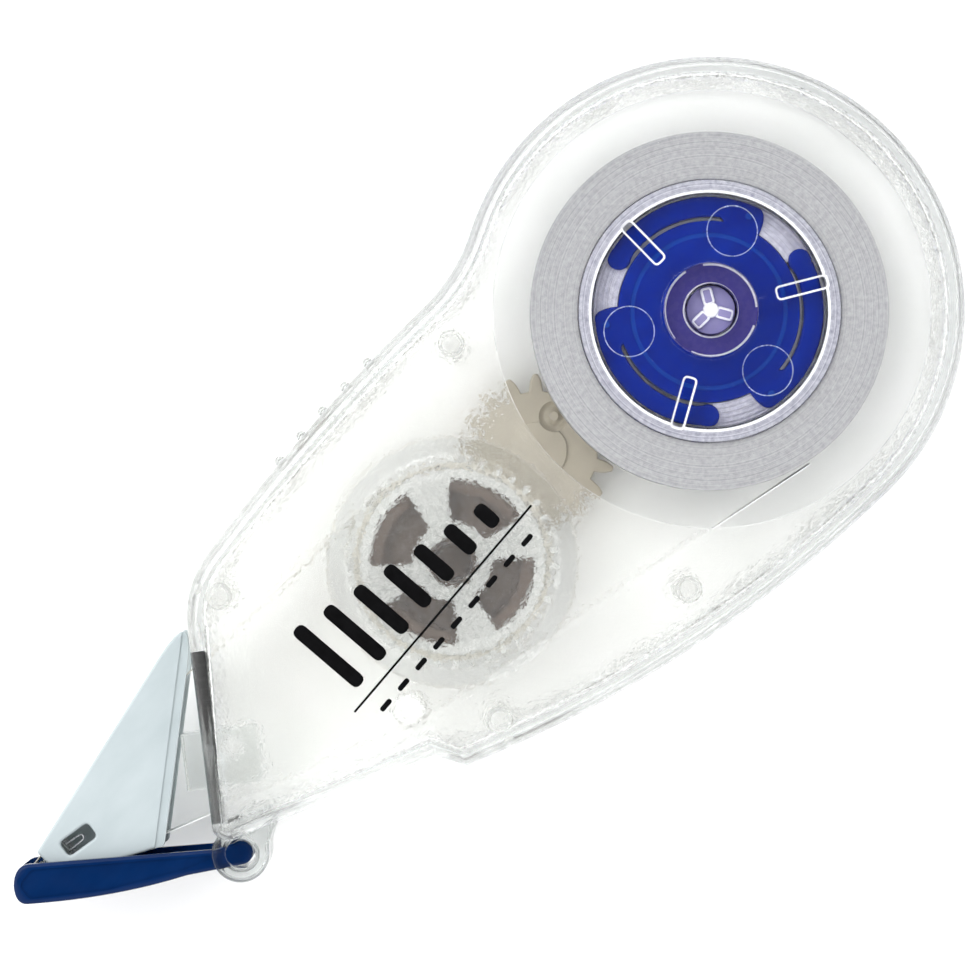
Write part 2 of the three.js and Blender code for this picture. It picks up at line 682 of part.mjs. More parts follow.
addPart('front_shell', frontShell(), 'clear');
addPart('rear_shell', rearShell(), 'clear');
addPart('supply_reel', supplyReel(), 'clear');
addPart('supply_tape_roll', supplyTapeRoll(), 'white');
addPart('supply_gear', supplyGear(), 'clear');
addPart('clutch_spider', clutchSpider(), 'blue');
addPart('idler_gear', idlerGear(), 'beige');
addPart('takeup_gear', takeupGear(), 'taupe');
addPart('takeup_reel', takeupReel(), 'clear');
addPart('used_tape_roll', usedTapeRoll(), 'carrier');
addPart('feed_tape_run', feedTapeRun(), 'white');
addPart('return_tape_run', returnTapeRun(), 'carrier');
addPart('head_front_plate', headPlate(MID + HEAD_HALF - PLATE_THICK, true), 'head');
addPart('head_rear_plate', headPlate(MID - HEAD_HALF, false), 'head');
addPart('head_core', headCore(), 'head');
addPart('head_neck', headNeck(), 'clear');
addPart('tip_holder', tipHolder(), 'clear');
addPart('tip_roller', tipRoller(), 'white');
addPart('tip_axle', tipAxle(), 'steel');
addPart('tip_spring', tipSpring(), 'steel');
addPart('cap', cap(), 'navy');

export default group;
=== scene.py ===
"""Looks of a correction tape roller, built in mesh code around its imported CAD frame."""

import json
import math

import bpy
import bmesh
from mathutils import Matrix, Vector
from mathutils.geometry import tessellate_polygon


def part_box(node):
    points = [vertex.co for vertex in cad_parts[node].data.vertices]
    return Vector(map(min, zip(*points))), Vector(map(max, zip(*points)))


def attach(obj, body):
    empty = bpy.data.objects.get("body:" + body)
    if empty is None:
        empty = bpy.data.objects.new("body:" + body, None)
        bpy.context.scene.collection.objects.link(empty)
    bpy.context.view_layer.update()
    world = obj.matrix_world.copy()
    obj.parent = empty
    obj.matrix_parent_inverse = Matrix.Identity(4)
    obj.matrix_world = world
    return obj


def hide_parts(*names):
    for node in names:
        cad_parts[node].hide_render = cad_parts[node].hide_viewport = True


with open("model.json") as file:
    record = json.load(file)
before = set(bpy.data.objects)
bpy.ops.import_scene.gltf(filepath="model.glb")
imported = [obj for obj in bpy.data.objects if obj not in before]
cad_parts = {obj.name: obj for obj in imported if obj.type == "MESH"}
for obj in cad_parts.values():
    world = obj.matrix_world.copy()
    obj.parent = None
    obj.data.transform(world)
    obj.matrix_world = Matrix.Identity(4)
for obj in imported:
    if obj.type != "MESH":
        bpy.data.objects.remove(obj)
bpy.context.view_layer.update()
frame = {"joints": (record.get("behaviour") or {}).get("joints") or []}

# Shapes are drawn in millimetres, and build() turns them into metres.
MM = 0.001

# Material slots of the two case shells. Other pieces number their own, from 0.
FACE, CLEAR_PART, HAZY_PART, PAINTED_LIGHT_PART, ROUNDED_EDGE, INNER_CORNER, OUTER_WALL = range(7)
MOST_SLOTS = 7


# ---- Places and sizes, some read from the frame and the rest given ------------------------


def axis_of(joint_name):
    for joint in frame["joints"]:
        if joint["name"] == joint_name:
            return (joint["pos_m"][0] / MM, joint["pos_m"][1] / MM)


def heights(node):
    low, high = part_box(node)
    return (low.z / MM, high.z / MM)


def radius_of(node, centre=(0, 0)):
    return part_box(node)[1].x / MM - centre[0]


SUPPLY = axis_of("supply_reel_spin")
IDLER = axis_of("idler_gear_spin")
TAKEUP = axis_of("takeup_reel_spin")
TIP = axis_of("tip_roller_spin")
HINGE = axis_of("cap_hinge")

THICK = heights("front_shell")[1]
MID = THICK / 2
FRONT_RIM = heights("front_shell")[0]
REAR_RIM = heights("rear_shell")[1]
TAPE_LOW, TAPE_HIGH = heights("supply_tape_roll")
GEAR_LOW, GEAR_HIGH = heights("idler_gear")[0], 3.4
BIG_END_R = radius_of("front_shell")
SUPPLY_ROLL_R = radius_of("supply_tape_roll")
SUPPLY_DRUM_R = radius_of("supply_reel")
FLANGE_R = radius_of("takeup_reel", TAKEUP)
USED_ROLL_R = radius_of("used_tape_roll", TAKEUP)
TIP_ROLLER_R = radius_of("tip_roller", TIP)
AXLE_R = radius_of("tip_axle", TIP)

# Case
FACE_WALL = 1.2
SIDE_WALL = 1.3
EDGE_ROUND = 1.2
WINDOW_R = 17
BELLY_R = 100
TOP_EDGE_Y = 15.75
TOP_EDGE_R = 165
WAIST_R = 13.8
BROW_R = 8
FRONT_SLOPE = 52.8
FRONT_FOOT = (-56.75, -2.93)
CHIN_R = 1.2
KEEL_SLOPE = -21.85
KEEL_END = (-39.45, -9.9)
STEP_FOOT = (-38.25, -11.95)
EAR_R = 2.25
EAR_HALF = 3.5
LATCHES = ((-16.3, 12.2), (-16.4, -14.3), (-42.9, 10.8), (-34, -11.3))
GUIDE_POST = (-38.6, -5.9)
GUIDE_POST_R = 1.2
RIB_COUNT, RIB_FIRST_X, RIB_STEP, RIB_R = 5, -32.2, 2.55, 0.42
MOUTH_HALF = 3.1
# The latches are drawn thinner than the frame's, so that they show less.
LATCH_POST_R = 1.05
LATCH_PIN_R = 0.6
BOSS_LOW = 11.4
POST_TOP = 12.4
WING_ANGLES = (60, 180, 300)
POST_R = 1.9
FIT = 0.15
HUB_R = 2.95
BOSS_R = 3.65
IDLER_POST_TOP = 2.9

# Gears
MODULE = 0.65
SUPPLY_TEETH = 36
SMALL_TEETH = 17
PRESSURE = math.radians(20)
BACKLASH = 0.12

# Clutch and reels
CLUTCH_TOP = 8.4
ARM_ROOTS = (31, 151, 271)
PIN_ANGLES = (23, 143, 263)
STEP_STARTS = (108, 228, 348)
SUPPLY_BORE_R = 9.4
WEB_SLOT_ANGLES = (90, 210, 330)
WEB_MARK_ANGLES = (30, 150, 270)
TAKEUP_DRUM_R = 7.2
KIDNEY_TURN = 19
TICKS = 38

# Head and cap
PLATE = ((-67.2, 6.45, 0.3), (-67.2, 3.75, 0.3), (-59.7, -0.15, 0.5), (-44.4, 11.98, 1.25))
WIRE_WINDOW = (-64.2, 4.9)
WINDOW_TURN = -8
CAP_DIRECTION = 140.2
CAP_LENGTH = 17.9
CAP_PIN_R = 0.93

# Camera
CAMERA_TURN = 44.3
CAMERA_AIM = (-22.08, 2.2)
CAMERA_HEIGHT = 445
CAMERA_LENS = 204.9


# ---- Outlines -----------------------------------------------------------------------------


def polar(centre, radius, angle):
    turn = math.radians(angle)
    return (centre[0] + radius * math.cos(turn), centre[1] + radius * math.sin(turn))


def arc(centre, radius, start, end, steps):
    return [polar(centre, radius, start + (end - start) * i / steps) for i in range(steps + 1)]


def circle(centre, radius, steps=96):
    return arc(centre, radius, 0, 360, steps)[:-1]


def angle_to(start, end):
    return math.degrees(math.atan2(end[1] - start[1], end[0] - start[0]))


def curve(start, control, end, steps=6):
    """Points of a quadratic curve."""
    points = []
    for i in range(steps + 1):
        t = i / steps
        weights = ((1 - t) ** 2, 2 * t * (1 - t), t**2)
        points.append(tuple(
            weights[0] * start[k] + weights[1] * control[k] + weights[2] * end[k] for k in (0, 1)))
    return points


def rounded(corners, steps=5):
    """Polygon whose corners (x, y, radius) are rounded."""
    points = []
    for i, corner in enumerate(corners):
        here = Vector(corner[:2])
        before = Vector(corners[i - 1][:2]) - here
        after = Vector(corners[(i + 1) % len(corners)][:2]) - here
        if corner[2] == 0:
            points.append(tuple(here))
            continue
        setback = corner[2] / math.tan(before.angle(after) / 2)
        start = here + before.normalized() * setback
        end = here + after.normalized() * setback
        points += curve(start, here, end, steps)
    return points


def turned(points, centre, angle):
    """The outline turned about a centre."""
    cos, sin = math.cos(math.radians(angle)), math.sin(math.radians(angle))
    moved = [(x - centre[0], y - centre[1]) for x, y in points]
    return [(centre[0] + x * cos - y * sin, centre[1] + x * sin + y * cos) for x, y in moved]


def inset(points, distance):
    """An anticlockwise outline moved inwards, or outwards where distance is below 0."""
    if distance == 0:
        return list(points)
    moved = []
    for i, point in enumerate(points):
        here = Vector(point)
        into = (here - Vector(points[i - 1])).normalized()
        out_of = (Vector(points[(i + 1) % len(points)]) - here).normalized()
        across = Vector((-into.y - out_of.y, into.x + out_of.x))
        moved.append(tuple(here + across * distance / (1 + into.dot(out_of))))
    return moved


def sector(centre, inner, outer, start, end, corner=0.3, steps=16):
    """Ring segment with rounded corners."""
    give_out = math.degrees(corner / outer)
    give_in = math.degrees(corner / inner)
    points = arc(centre, outer, start + give_out, end - give_out, steps)
    points += curve(points[-1], polar(centre, outer, end), polar(centre, outer - corner, end), 4)[1:]
    points += curve(polar(centre, inner + corner, end), polar(centre, inner, end),
                    polar(centre, inner, end - give_in), 4)
    points += arc(centre, inner, end - give_in, start + give_in, steps)[1:]
    points += curve(points[-1], polar(centre, inner, start), polar(centre, inner + corner, start), 4)[1:]
    points += curve(polar(centre, outer - corner, start), polar(centre, outer, start), points[0], 4)[:-1]
    return points


def box_outline(centre, length, width, angle, corner=0.1):
    x, y = centre
    corners = [(x + sx * length / 2, y + sy * width / 2, corner)
               for sx, sy in ((-1, -1), (1, -1), (1, 1), (-1, 1))]
    return turned(rounded(corners, 3), centre, angle)


def brow_centre(top):
    """Centre of the corner arc that touches both the front edge and the ribbed edge."""
    along = Vector(polar((0, 0), 1, FRONT_SLOPE))
    start = Vector((FRONT_FOOT[0] + BROW_R * along.y, FRONT_FOOT[1] - BROW_R * along.x)) - Vector(top)
    b = start.dot(along)
    travel = math.sqrt(b * b - start.length_squared + (TOP_EDGE_R - BROW_R) ** 2) - b
    return tuple(Vector(top) + start + along * travel)


def waist_centre():
    y = TOP_EDGE_Y + WAIST_R
    return (-math.sqrt((BIG_END_R + WAIST_R) ** 2 - y**2), y)


def case_outline(depth):
    """Outline of the case, moved inwards by depth; always the same number of points."""
    waist = waist_centre()
    waist_angle = angle_to((0, 0), waist)
    top = (waist[0], TOP_EDGE_Y - TOP_EDGE_R)
    brow = brow_centre(top)
    chin_half = (FRONT_SLOPE - KEEL_SLOPE) / 2
    chin = polar(FRONT_FOOT, CHIN_R / math.sin(math.radians(chin_half)), FRONT_SLOPE - chin_half)
    belly = (0, BELLY_R - BIG_END_R)
    brow_angle = angle_to(top, brow)
    points = arc(belly, BELLY_R - depth, angle_to(belly, STEP_FOOT), -90, 20)[:-1]
    points += arc((0, 0), BIG_END_R - depth, -90, waist_angle, 96)[:-1]
    points += arc(waist, WAIST_R + depth, waist_angle - 180, -90, 14)[:-1]
    points += arc(top, TOP_EDGE_R - depth, 90, brow_angle, 12)[:-1]
    points += arc(brow, BROW_R - depth, brow_angle, FRONT_SLOPE + 90, 16)
    points += arc(chin, CHIN_R - min(depth, CHIN_R - 0.3), FRONT_SLOPE + 90, KEEL_SLOPE + 270, 8)
    points.append(polar(KEEL_END, depth, KEEL_SLOPE + 90))
    return points


def ribbed_edge_y(x):
    return TOP_EDGE_Y - TOP_EDGE_R + math.sqrt(TOP_EDGE_R**2 - (x - waist_centre()[0]) ** 2)


def gear_outline(teeth, phase):
    """Involute gear about the origin, turned by phase in degrees."""
    pitch_r = MODULE * teeth / 2
    base_r = pitch_r * math.cos(PRESSURE)
    outer_r = pitch_r + 0.92 * MODULE
    root_r = pitch_r - 1.2 * MODULE
    pitch_half = math.pi / (2 * teeth) - BACKLASH / (2 * pitch_r)
    flank_start = max(base_r, root_r + 0.05)

    def half_angle(r):
        lean = math.acos(base_r / r)
        return pitch_half + (math.tan(PRESSURE) - PRESSURE) - (math.tan(lean) - lean)

    flank = []
    for step in range(6):
        r = flank_start + (outer_r - 0.08 - flank_start) * step / 5
        flank.append((r, half_angle(r)))
    flank.append((outer_r, half_angle(outer_r) * 0.8))
    rising = [(root_r, flank[0][1] + 0.02)] + flank
    points = []
    for tooth in range(teeth):
        middle = phase + tooth * 360 / teeth
        points += [polar((0, 0), r, middle - math.degrees(half)) for r, half in rising]
        points += [polar((0, 0), r, middle + math.degrees(half)) for r, half in reversed(rising)]
    return points


def moved(points, centre):
    return [(x + centre[0], y + centre[1]) for x, y in points]


# ---- Meshes -------------------------------------------------------------------------------


class Shape:
    """Points and faces of one closed surface, in millimetres."""

    def __init__(self):
        self.points = []
        self.faces = []
        self.slots = []

    def ring(self, outline, z):
        start = len(self.points)
        self.points += [(x, y, z) for x, y in outline]
        return list(range(start, len(self.points)))

    def face(self, corners, slot=0):
        self.faces.append(corners)
        self.slots.append(slot)

    def wall(self, lower, upper, slot=0):
        for i, _ in enumerate(lower):
            self.face([lower[i - 1], lower[i], upper[i], upper[i - 1]], slot)

    def cap(self, rings, slot=0):
        flat = [i for ring in rings for i in ring]
        loops = [[Vector(self.points[i]) for i in ring] for ring in rings]
        for triangle in tessellate_polygon(loops):
            self.face([flat[i] for i in triangle], slot)

    def mesh(self):
        made = bpy.data.meshes.new("work")
        made.from_pydata(self.points, [], self.faces)
        for _ in range(MOST_SLOTS):
            made.materials.append(None)
        made.polygons.foreach_set("material_index", self.slots)
        work = bmesh.new()
        work.from_mesh(made)
        bmesh.ops.recalc_face_normals(work, faces=work.faces)
        work.to_mesh(made)
        work.free()
        return made


def edge_levels(radius, steps=4):
    """(inset, depth) pairs down a rounded edge, from the flat face to the wall."""
    if radius == 0:
        return [(0, 0)]
    turns = [math.radians(90 * i / steps) for i in range(steps + 1)]
    return [(radius * (1 - math.sin(turn)), radius * (1 - math.cos(turn))) for turn in turns]


def slab(outline, low, high, bottom=0.1, top=0.1, holes=(), slot=0):
    """Flat piece with rounded edges and any number of holes."""
    levels = [(depth, low + rise) for depth, rise in edge_levels(bottom)]
    levels += [(depth, high - rise) for depth, rise in reversed(edge_levels(top))]
    shape = Shape()
    stacks = []
    for loop, side in [(outline, 1)] + [(hole, -1) for hole in holes]:
        stack = [shape.ring(inset(loop, side * depth), z) for depth, z in levels]
        for lower, upper in zip(stack, stack[1:]):
            shape.wall(lower, upper, slot)
        stacks.append(stack)
    shape.cap([stack[0] for stack in stacks], slot)
    shape.cap([stack[-1] for stack in stacks], slot)
    return shape.mesh()


def lathe(centre, corners, sides=72, slot=0):
    """Closed section of (radius, z, rounding) corners, turned about a centre."""
    section = rounded(corners, 4)
    shape = Shape()
    rings = []
    for r, z in section:
        if r < 1e-6:
            shape.points.append((centre[0], centre[1], z))
            rings.append([len(shape.points) - 1] * sides)
        else:
            rings.append(shape.ring(circle(centre, r, sides), z))
    for before, after in zip(rings[-1:] + rings[:-1], rings):
        for i in range(sides):
            corners_here = [before[i - 1], before[i], after[i], after[i - 1]]
            unlike = list(dict.fromkeys(corners_here))
            if len(unlike) > 2:
                shape.face(unlike, slot)
    return shape.mesh()


def disc(centre, radius, low, high, round_low=0.08, round_high=0.08, sides=48, slot=0):
    return lathe(centre, [(0, low, 0), (radius, low, round_low), (radius, high, round_high),
                          (0, high, 0)], sides, slot)


def hoop(centre, inner, outer, low, high, edge=0.08, sides=72, slot=0):
    return lathe(centre, [(inner, low, edge), (outer, low, edge), (outer, high, edge),
                          (inner, high, edge)], sides, slot)


def flared_cutter(outline, low, surface, flare, slot):
    """Tool for a hole whose upper edge, at the surface, is chamfered."""
    shape = Shape()
    levels = [(0, low), (0, surface - flare), (-2 * flare, surface + flare)]
    rings = [shape.ring(inset(outline, give), z) for give, z in levels]
    shape.wall(rings[0], rings[1])
    shape.wall(rings[1], rings[2], slot)
    shape.cap([rings[0]])
    shape.cap([rings[-1]])
    return shape.mesh()


def tube(path, radius, sides=12):
    """Round wire along a list of points."""
    shape = Shape()
    line = [Vector(point) for point in path]
    rings = []
    for i, here in enumerate(line):
        ahead = line[min(i + 1, len(line) - 1)] - line[max(i - 1, 0)]
        across = ahead.cross(Vector((0, 0, 1))).normalized()
        up = across.cross(ahead).normalized()
        start = len(shape.points)
        for k in range(sides):
            turn = 2 * math.pi * k / sides
            shape.points.append(tuple(here + radius * (across * math.cos(turn) + up * math.sin(turn))))
        rings.append(list(range(start, start + sides)))
    for lower, upper in zip(rings, rings[1:]):
        shape.wall(lower, upper)
    shape.face(rings[0])
    shape.face(rings[-1])
    return shape.mesh()


def combine(base, *steps):
    """The base mesh after Boolean steps, each an operation and a mesh."""
    scene = bpy.context.scene.collection
    whole = bpy.data.objects.new("whole", base)
    scene.objects.link(whole)
    tools = []
    for operation, other in steps:
        tool = bpy.data.objects.new("tool", other)
        scene.objects.link(tool)
        tools.append(tool)
        modifier = whole.modifiers.new("step", "BOOLEAN")
        modifier.solver = "MANIFOLD"
        modifier.operation = operation
        modifier.object = tool
    graph = bpy.context.evaluated_depsgraph_get()
    result = bpy.data.meshes.new_from_object(whole.evaluated_get(graph))
    for spare in [whole] + tools:
        bpy.data.objects.remove(spare)
    return result


def join(base, *others):
    return combine(base, *[("UNION", other) for other in others])


def cut(base, *others):
    return combine(base, *[("DIFFERENCE", other) for other in others])


def build(name, mesh, body, materials, replaces=(), sharp=35):
    """Shown piece made of a mesh in millimetres."""
    for vertex in mesh.vertices:
        vertex.co *= MM
    mesh.name = name
    slots = [polygon.material_index for polygon in mesh.polygons]
    mesh.materials.clear()
    for material in materials:
        mesh.materials.append(material)
    last = len(materials) - 1
    mesh.polygons.foreach_set("material_index", [min(index, last) for index in slots])
    mesh.shade_smooth()
    mesh.set_sharp_from_angle(angle=math.radians(sharp))
    piece = bpy.data.objects.new(name, mesh)
    bpy.context.scene.collection.objects.link(piece)
    weighted = piece.modifiers.new("even_shading", "WEIGHTED_NORMAL")
    weighted.keep_sharp = True
    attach(piece, body)
    if replaces:
        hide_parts(*replaces)
    return piece


# ---- Materials ----------------------------------------------------------------------------


class Finish:
    """A node material with helpers for its grain, tint, roughness and bump."""

    def __init__(self, name, **constants):
        self.material = bpy.data.materials.new(name)
        self.material.use_nodes = True
        self.nodes = self.material.node_tree.nodes
        self.links = self.material.node_tree.links
        self.shader = self.nodes["Principled BSDF"]
        for key, value in constants.items():
            self.shader.inputs[key.replace("_", " ")].default_value = value
        self.place = self.nodes.new("ShaderNodeTexCoord").outputs["Object"]
        self.normal = None

    def node(self, kind, inputs=(), **settings):
        made = self.nodes.new(kind)
        for key, value in settings.items():
            setattr(made, key, value)
        for key, value in dict(inputs).items():
            if isinstance(value, bpy.types.NodeSocket):
                self.links.new(value, made.inputs[key])
            else:
                made.inputs[key].default_value = value
        return made

    def noise(self, size_mm, detail=2.0, rough=0.5, stretch=(1, 1, 1)):
        """Noise whose blotches are about size_mm wide."""
        scaled = self.node("ShaderNodeMapping", {"Vector": self.place, "Scale": stretch})
        noise = self.node("ShaderNodeTexNoise", {
            "Vector": scaled.outputs[0], "Scale": 1 / (size_mm * MM),
            "Detail": detail, "Roughness": rough})
        return noise.outputs["Fac"]

    def rings(self, centre, size_mm, detail=2.0):
        """Noise that depends only on the distance from an upright axis."""
        offset = self.node("ShaderNodeVectorMath", {
            0: self.place, 1: (-centre[0] * MM, -centre[1] * MM, 0)}, operation="ADD")
        flat = self.node("ShaderNodeVectorMath", {
            0: offset.outputs[0], 1: (1, 1, 0)}, operation="MULTIPLY")
        length = self.node("ShaderNodeVectorMath", {0: flat.outputs[0]}, operation="LENGTH")
        noise = self.node("ShaderNodeTexNoise", {
            "W": length.outputs["Value"], "Scale": 1 / (size_mm * MM), "Detail": detail},
            noise_dimensions="1D")
        return noise.outputs["Fac"]

    def spread(self, factor, low, high, start=0.3, end=0.7):
        """Factor from start to end, remapped to run from low to high."""
        mapped = self.node("ShaderNodeMapRange", {
            "Value": factor, "From Min": start, "From Max": end, "To Min": low, "To Max": high})
        return mapped.outputs["Result"]

    def tint(self, factor, first, second, start=0.3, end=0.7):
        mix = self.node("ShaderNodeMix", {0: self.spread(factor, 0, 1, start, end)}, data_type="RGBA")
        mix.inputs[6].default_value = (*first, 1)
        mix.inputs[7].default_value = (*second, 1)
        self.links.new(mix.outputs[2], self.shader.inputs["Base Color"])

    def rough(self, factor, low, high):
        self.links.new(self.spread(factor, low, high), self.shader.inputs["Roughness"])

    def bump(self, factor, height_mm, strength=1.0):
        made = self.node("ShaderNodeBump", {
            "Strength": strength, "Distance": height_mm * MM, "Height": factor})
        if self.normal:
            self.links.new(self.normal, made.inputs["Normal"])
        self.normal = made.outputs["Normal"]
        self.links.new(self.normal, self.shader.inputs["Normal"])


def frosted_plastic(name, relief):
    """Clear plastic with a pebbled face; relief is the height of the pebbles."""
    finish = Finish(name, Transmission_Weight=0.97, IOR=1.44, Specular_IOR_Level=0.2)
    cloud = finish.noise(6, 3)
    finish.tint(cloud, (0.985, 0.99, 0.98), (1, 1, 0.995))
    finish.rough(finish.noise(2.5, 3), 0.1, 0.16)
    finish.bump(finish.noise(0.42, 2, 0.5), relief, 0.8)
    return finish.material


def inner_corner():
    """Inner corner of the case, with painted shade: dark specks that show through the plastic as a
    broken dark line.
    """
    finish = Finish("case_corner_painted_shade", Transmission_Weight=0.9, IOR=1.44, Specular_IOR_Level=0.2)
    specks = finish.node("ShaderNodeMath", {0: finish.noise(0.25, 2, 0.6), 1: finish.noise(7, 2)})
    specks.operation = "ADD"
    finish.tint(specks.outputs[0], (0.25, 0.25, 0.23), (0.98, 0.98, 0.97), 0.85, 1.1)
    finish.rough(finish.noise(0.4, 3), 0.2, 0.35)
    finish.bump(finish.noise(0.3, 2), 0.01, 0.5)
    return finish.material


def clear_plastic(name="clear_plastic", tone=(0.985, 0.99, 0.99), roughness=(0.02, 0.06)):
    finish = Finish(name, Transmission_Weight=1.0, IOR=1.45, Specular_IOR_Level=0.12)
    finish.tint(finish.noise(4, 2), tone, tuple(min(1, part + 0.012) for part in tone))
    finish.rough(finish.noise(1.2, 4), *roughness)
    finish.bump(finish.noise(3, 2), 0.01, 0.5)
    return finish.material


def hazy_plastic(name, tone, clearness, relief=0.006):
    """Plastic that lets a share of the light through, clearness, and scatters the rest."""
    finish = Finish(name, Transmission_Weight=clearness, IOR=1.3, Specular_IOR_Level=0.3)
    finish.tint(finish.noise(0.8, 3), tone, tuple(min(1, part * 1.06) for part in tone))
    finish.rough(finish.noise(0.5, 3), 0.2, 0.35)
    finish.bump(finish.noise(0.2, 3), relief, 0.5)
    return finish.material


def moulded_plastic(name, dark, light, roughness=(0.3, 0.42), grain=0.35, shine=0.3):
    """Opaque satin plastic with a fine moulded grain and faint flow marks."""
    finish = Finish(name, Specular_IOR_Level=shine)
    flow = finish.noise(5, 4, 0.55, (1, 2.2, 1))
    finish.tint(flow, dark, light)
    finish.rough(finish.noise(1.5, 4), *roughness)
    finish.bump(finish.noise(grain, 3, 0.6), 0.01, 0.5)
    finish.bump(finish.noise(4, 2), 0.03, 0.35)
    return finish.material


def ringed(name, centre, dark, light, clearness=0.0):
    """Surface with fine rings about an upright axis, as on a wound roll's edge."""
    finish = Finish(name, Specular_IOR_Level=0.3, Transmission_Weight=clearness, IOR=1.3)
    lines = finish.rings(centre, 0.1, 3)
    patchy = finish.node("ShaderNodeMath", {0: lines, 1: finish.noise(0.4, 3, 0.6)})
    patchy.operation = "ADD"
    finish.tint(patchy.outputs[0], dark, light, 0.7, 1.25)
    finish.rough(finish.noise(0.8, 3), 0.42, 0.6)
    finish.bump(lines, 0.012, 0.5)
    return finish.material


def film(name, dark, light):
    finish = Finish(name, Specular_IOR_Level=0.45)
    finish.tint(finish.noise(3, 3, 0.5, (0.3, 0.3, 2)), dark, light)
    finish.rough(finish.noise(1, 3), 0.3, 0.45)
    finish.bump(finish.noise(0.6, 3), 0.006, 0.5)
    return finish.material


def steel(name="drawn_steel"):
    finish = Finish(name, Metallic=1.0, Anisotropic=0.4)
    finish.tint(finish.noise(0.5, 3), (0.42, 0.43, 0.45), (0.66, 0.67, 0.69))
    finish.rough(finish.noise(0.25, 3), 0.2, 0.38)
    finish.bump(finish.noise(0.12, 2, 0.5, (0.2, 1, 1)), 0.004, 0.6)
    return finish.material


def black_ink():
    finish = Finish("black_ink", Specular_IOR_Level=0.05)
    finish.tint(finish.noise(0.7, 3), (0.001, 0.001, 0.0012), (0.0025, 0.0025, 0.003))
    finish.rough(finish.noise(0.5, 3), 0.35, 0.5)
    finish.bump(finish.noise(0.15, 3), 0.004, 0.5)
    return finish.material


FROSTED = frosted_plastic("frosted_plastic", 0.08)
FINE_FROSTED = frosted_plastic("fine_frosted_plastic", 0.02)
CLEAR = clear_plastic()
SMOKY = clear_plastic("smoky_clear_plastic", (0.86, 0.88, 0.87), (0.1, 0.18))
GEAR_CLEAR = clear_plastic("gear_clear_plastic", (0.95, 0.95, 0.975), (0.12, 0.2))
# Hazy white: painted highlights on the rims and chamfers of clear parts, and painted light on the case's
# mouth faces.
WHITE_PAINTED_LIGHT = hazy_plastic("white_painted_light", (0.93, 0.93, 0.95), 0.1)
# Pale blue haze: painted faint highlight in the supply reel's mark rings.
FAINT_PAINTED_HIGHLIGHT = hazy_plastic("painted_faint_highlight", (0.7, 0.78, 0.92), 0.55)
# The case's boss and post are opaque here, in the colours of clear plastic over the blue clutch.
PURPLE_HAZE = hazy_plastic("boss_haze", (0.1, 0.085, 0.36), 0.0, 0.002)
LILAC_HAZE = hazy_plastic("post_haze", (0.27, 0.25, 0.44), 0.0, 0.002)
MILKY = hazy_plastic("milky_plastic", (0.54, 0.55, 0.535), 0.3)
# Tinted darker than the case's face: painted shade on the rounded edges, hinge ears and finger ribs.
CASE_EDGE_SHADE = clear_plastic("case_edge_painted_shade", (0.86, 0.875, 0.87), (0.06, 0.12))
CASE_WALL = clear_plastic("case_wall", (0.97, 0.98, 0.975), (0.16, 0.24))
# Painted shade for the case's inner corner.
CASE_CORNER_SHADE = inner_corner()
DRUM_HAZE = ringed("drum_haze", SUPPLY, (0.25, 0.25, 0.33), (0.66, 0.66, 0.72), 0.3)
WEB_HAZE = ringed("gear_web_haze", SUPPLY, (0.48, 0.47, 0.58), (0.88, 0.87, 0.97), 0.2)
BLUE = moulded_plastic("blue_plastic", (0.001, 0.014, 0.22), (0.002, 0.024, 0.29), (0.14, 0.2),
                       shine=0.08)
# Lighter copy of the blue plastic: painted highlight in the clutch's groove and on its arm pins.
BLUE_HIGHLIGHT = moulded_plastic("blue_plastic_painted_highlight", (0.004, 0.04, 0.3), (0.006, 0.055, 0.36), (0.2, 0.28),
                           shine=0.08)
NAVY = moulded_plastic("navy_plastic", (0.0004, 0.011, 0.055), (0.0008, 0.016, 0.075), (0.15, 0.22),
                       shine=0.12)
BEIGE = moulded_plastic("beige_plastic", (0.42, 0.38, 0.31), (0.48, 0.44, 0.36), (0.38, 0.5))
TAUPE = moulded_plastic("taupe_plastic", (0.085, 0.058, 0.042), (0.115, 0.08, 0.06), (0.38, 0.5))
PALE_GREY = moulded_plastic("pale_grey_plastic", (0.36, 0.41, 0.425), (0.4, 0.45, 0.465), (0.3, 0.42))
NATURAL = moulded_plastic("natural_plastic", (0.74, 0.74, 0.7), (0.82, 0.82, 0.78))
ROLL = ringed("wound_white_tape", SUPPLY, (0.28, 0.28, 0.29), (0.42, 0.42, 0.43))
USED_ROLL = ringed("wound_carrier_tape", TAKEUP, (0.5, 0.48, 0.42), (0.75, 0.72, 0.65))
WHITE_FILM = film("white_tape_film", (0.8, 0.8, 0.79), (0.88, 0.88, 0.87))
CARRIER_FILM = film("carrier_film", (0.62, 0.6, 0.54), (0.72, 0.7, 0.64))
STEEL = steel()
INK = black_ink()


# ---- Case ---------------------------------------------------------------------------------


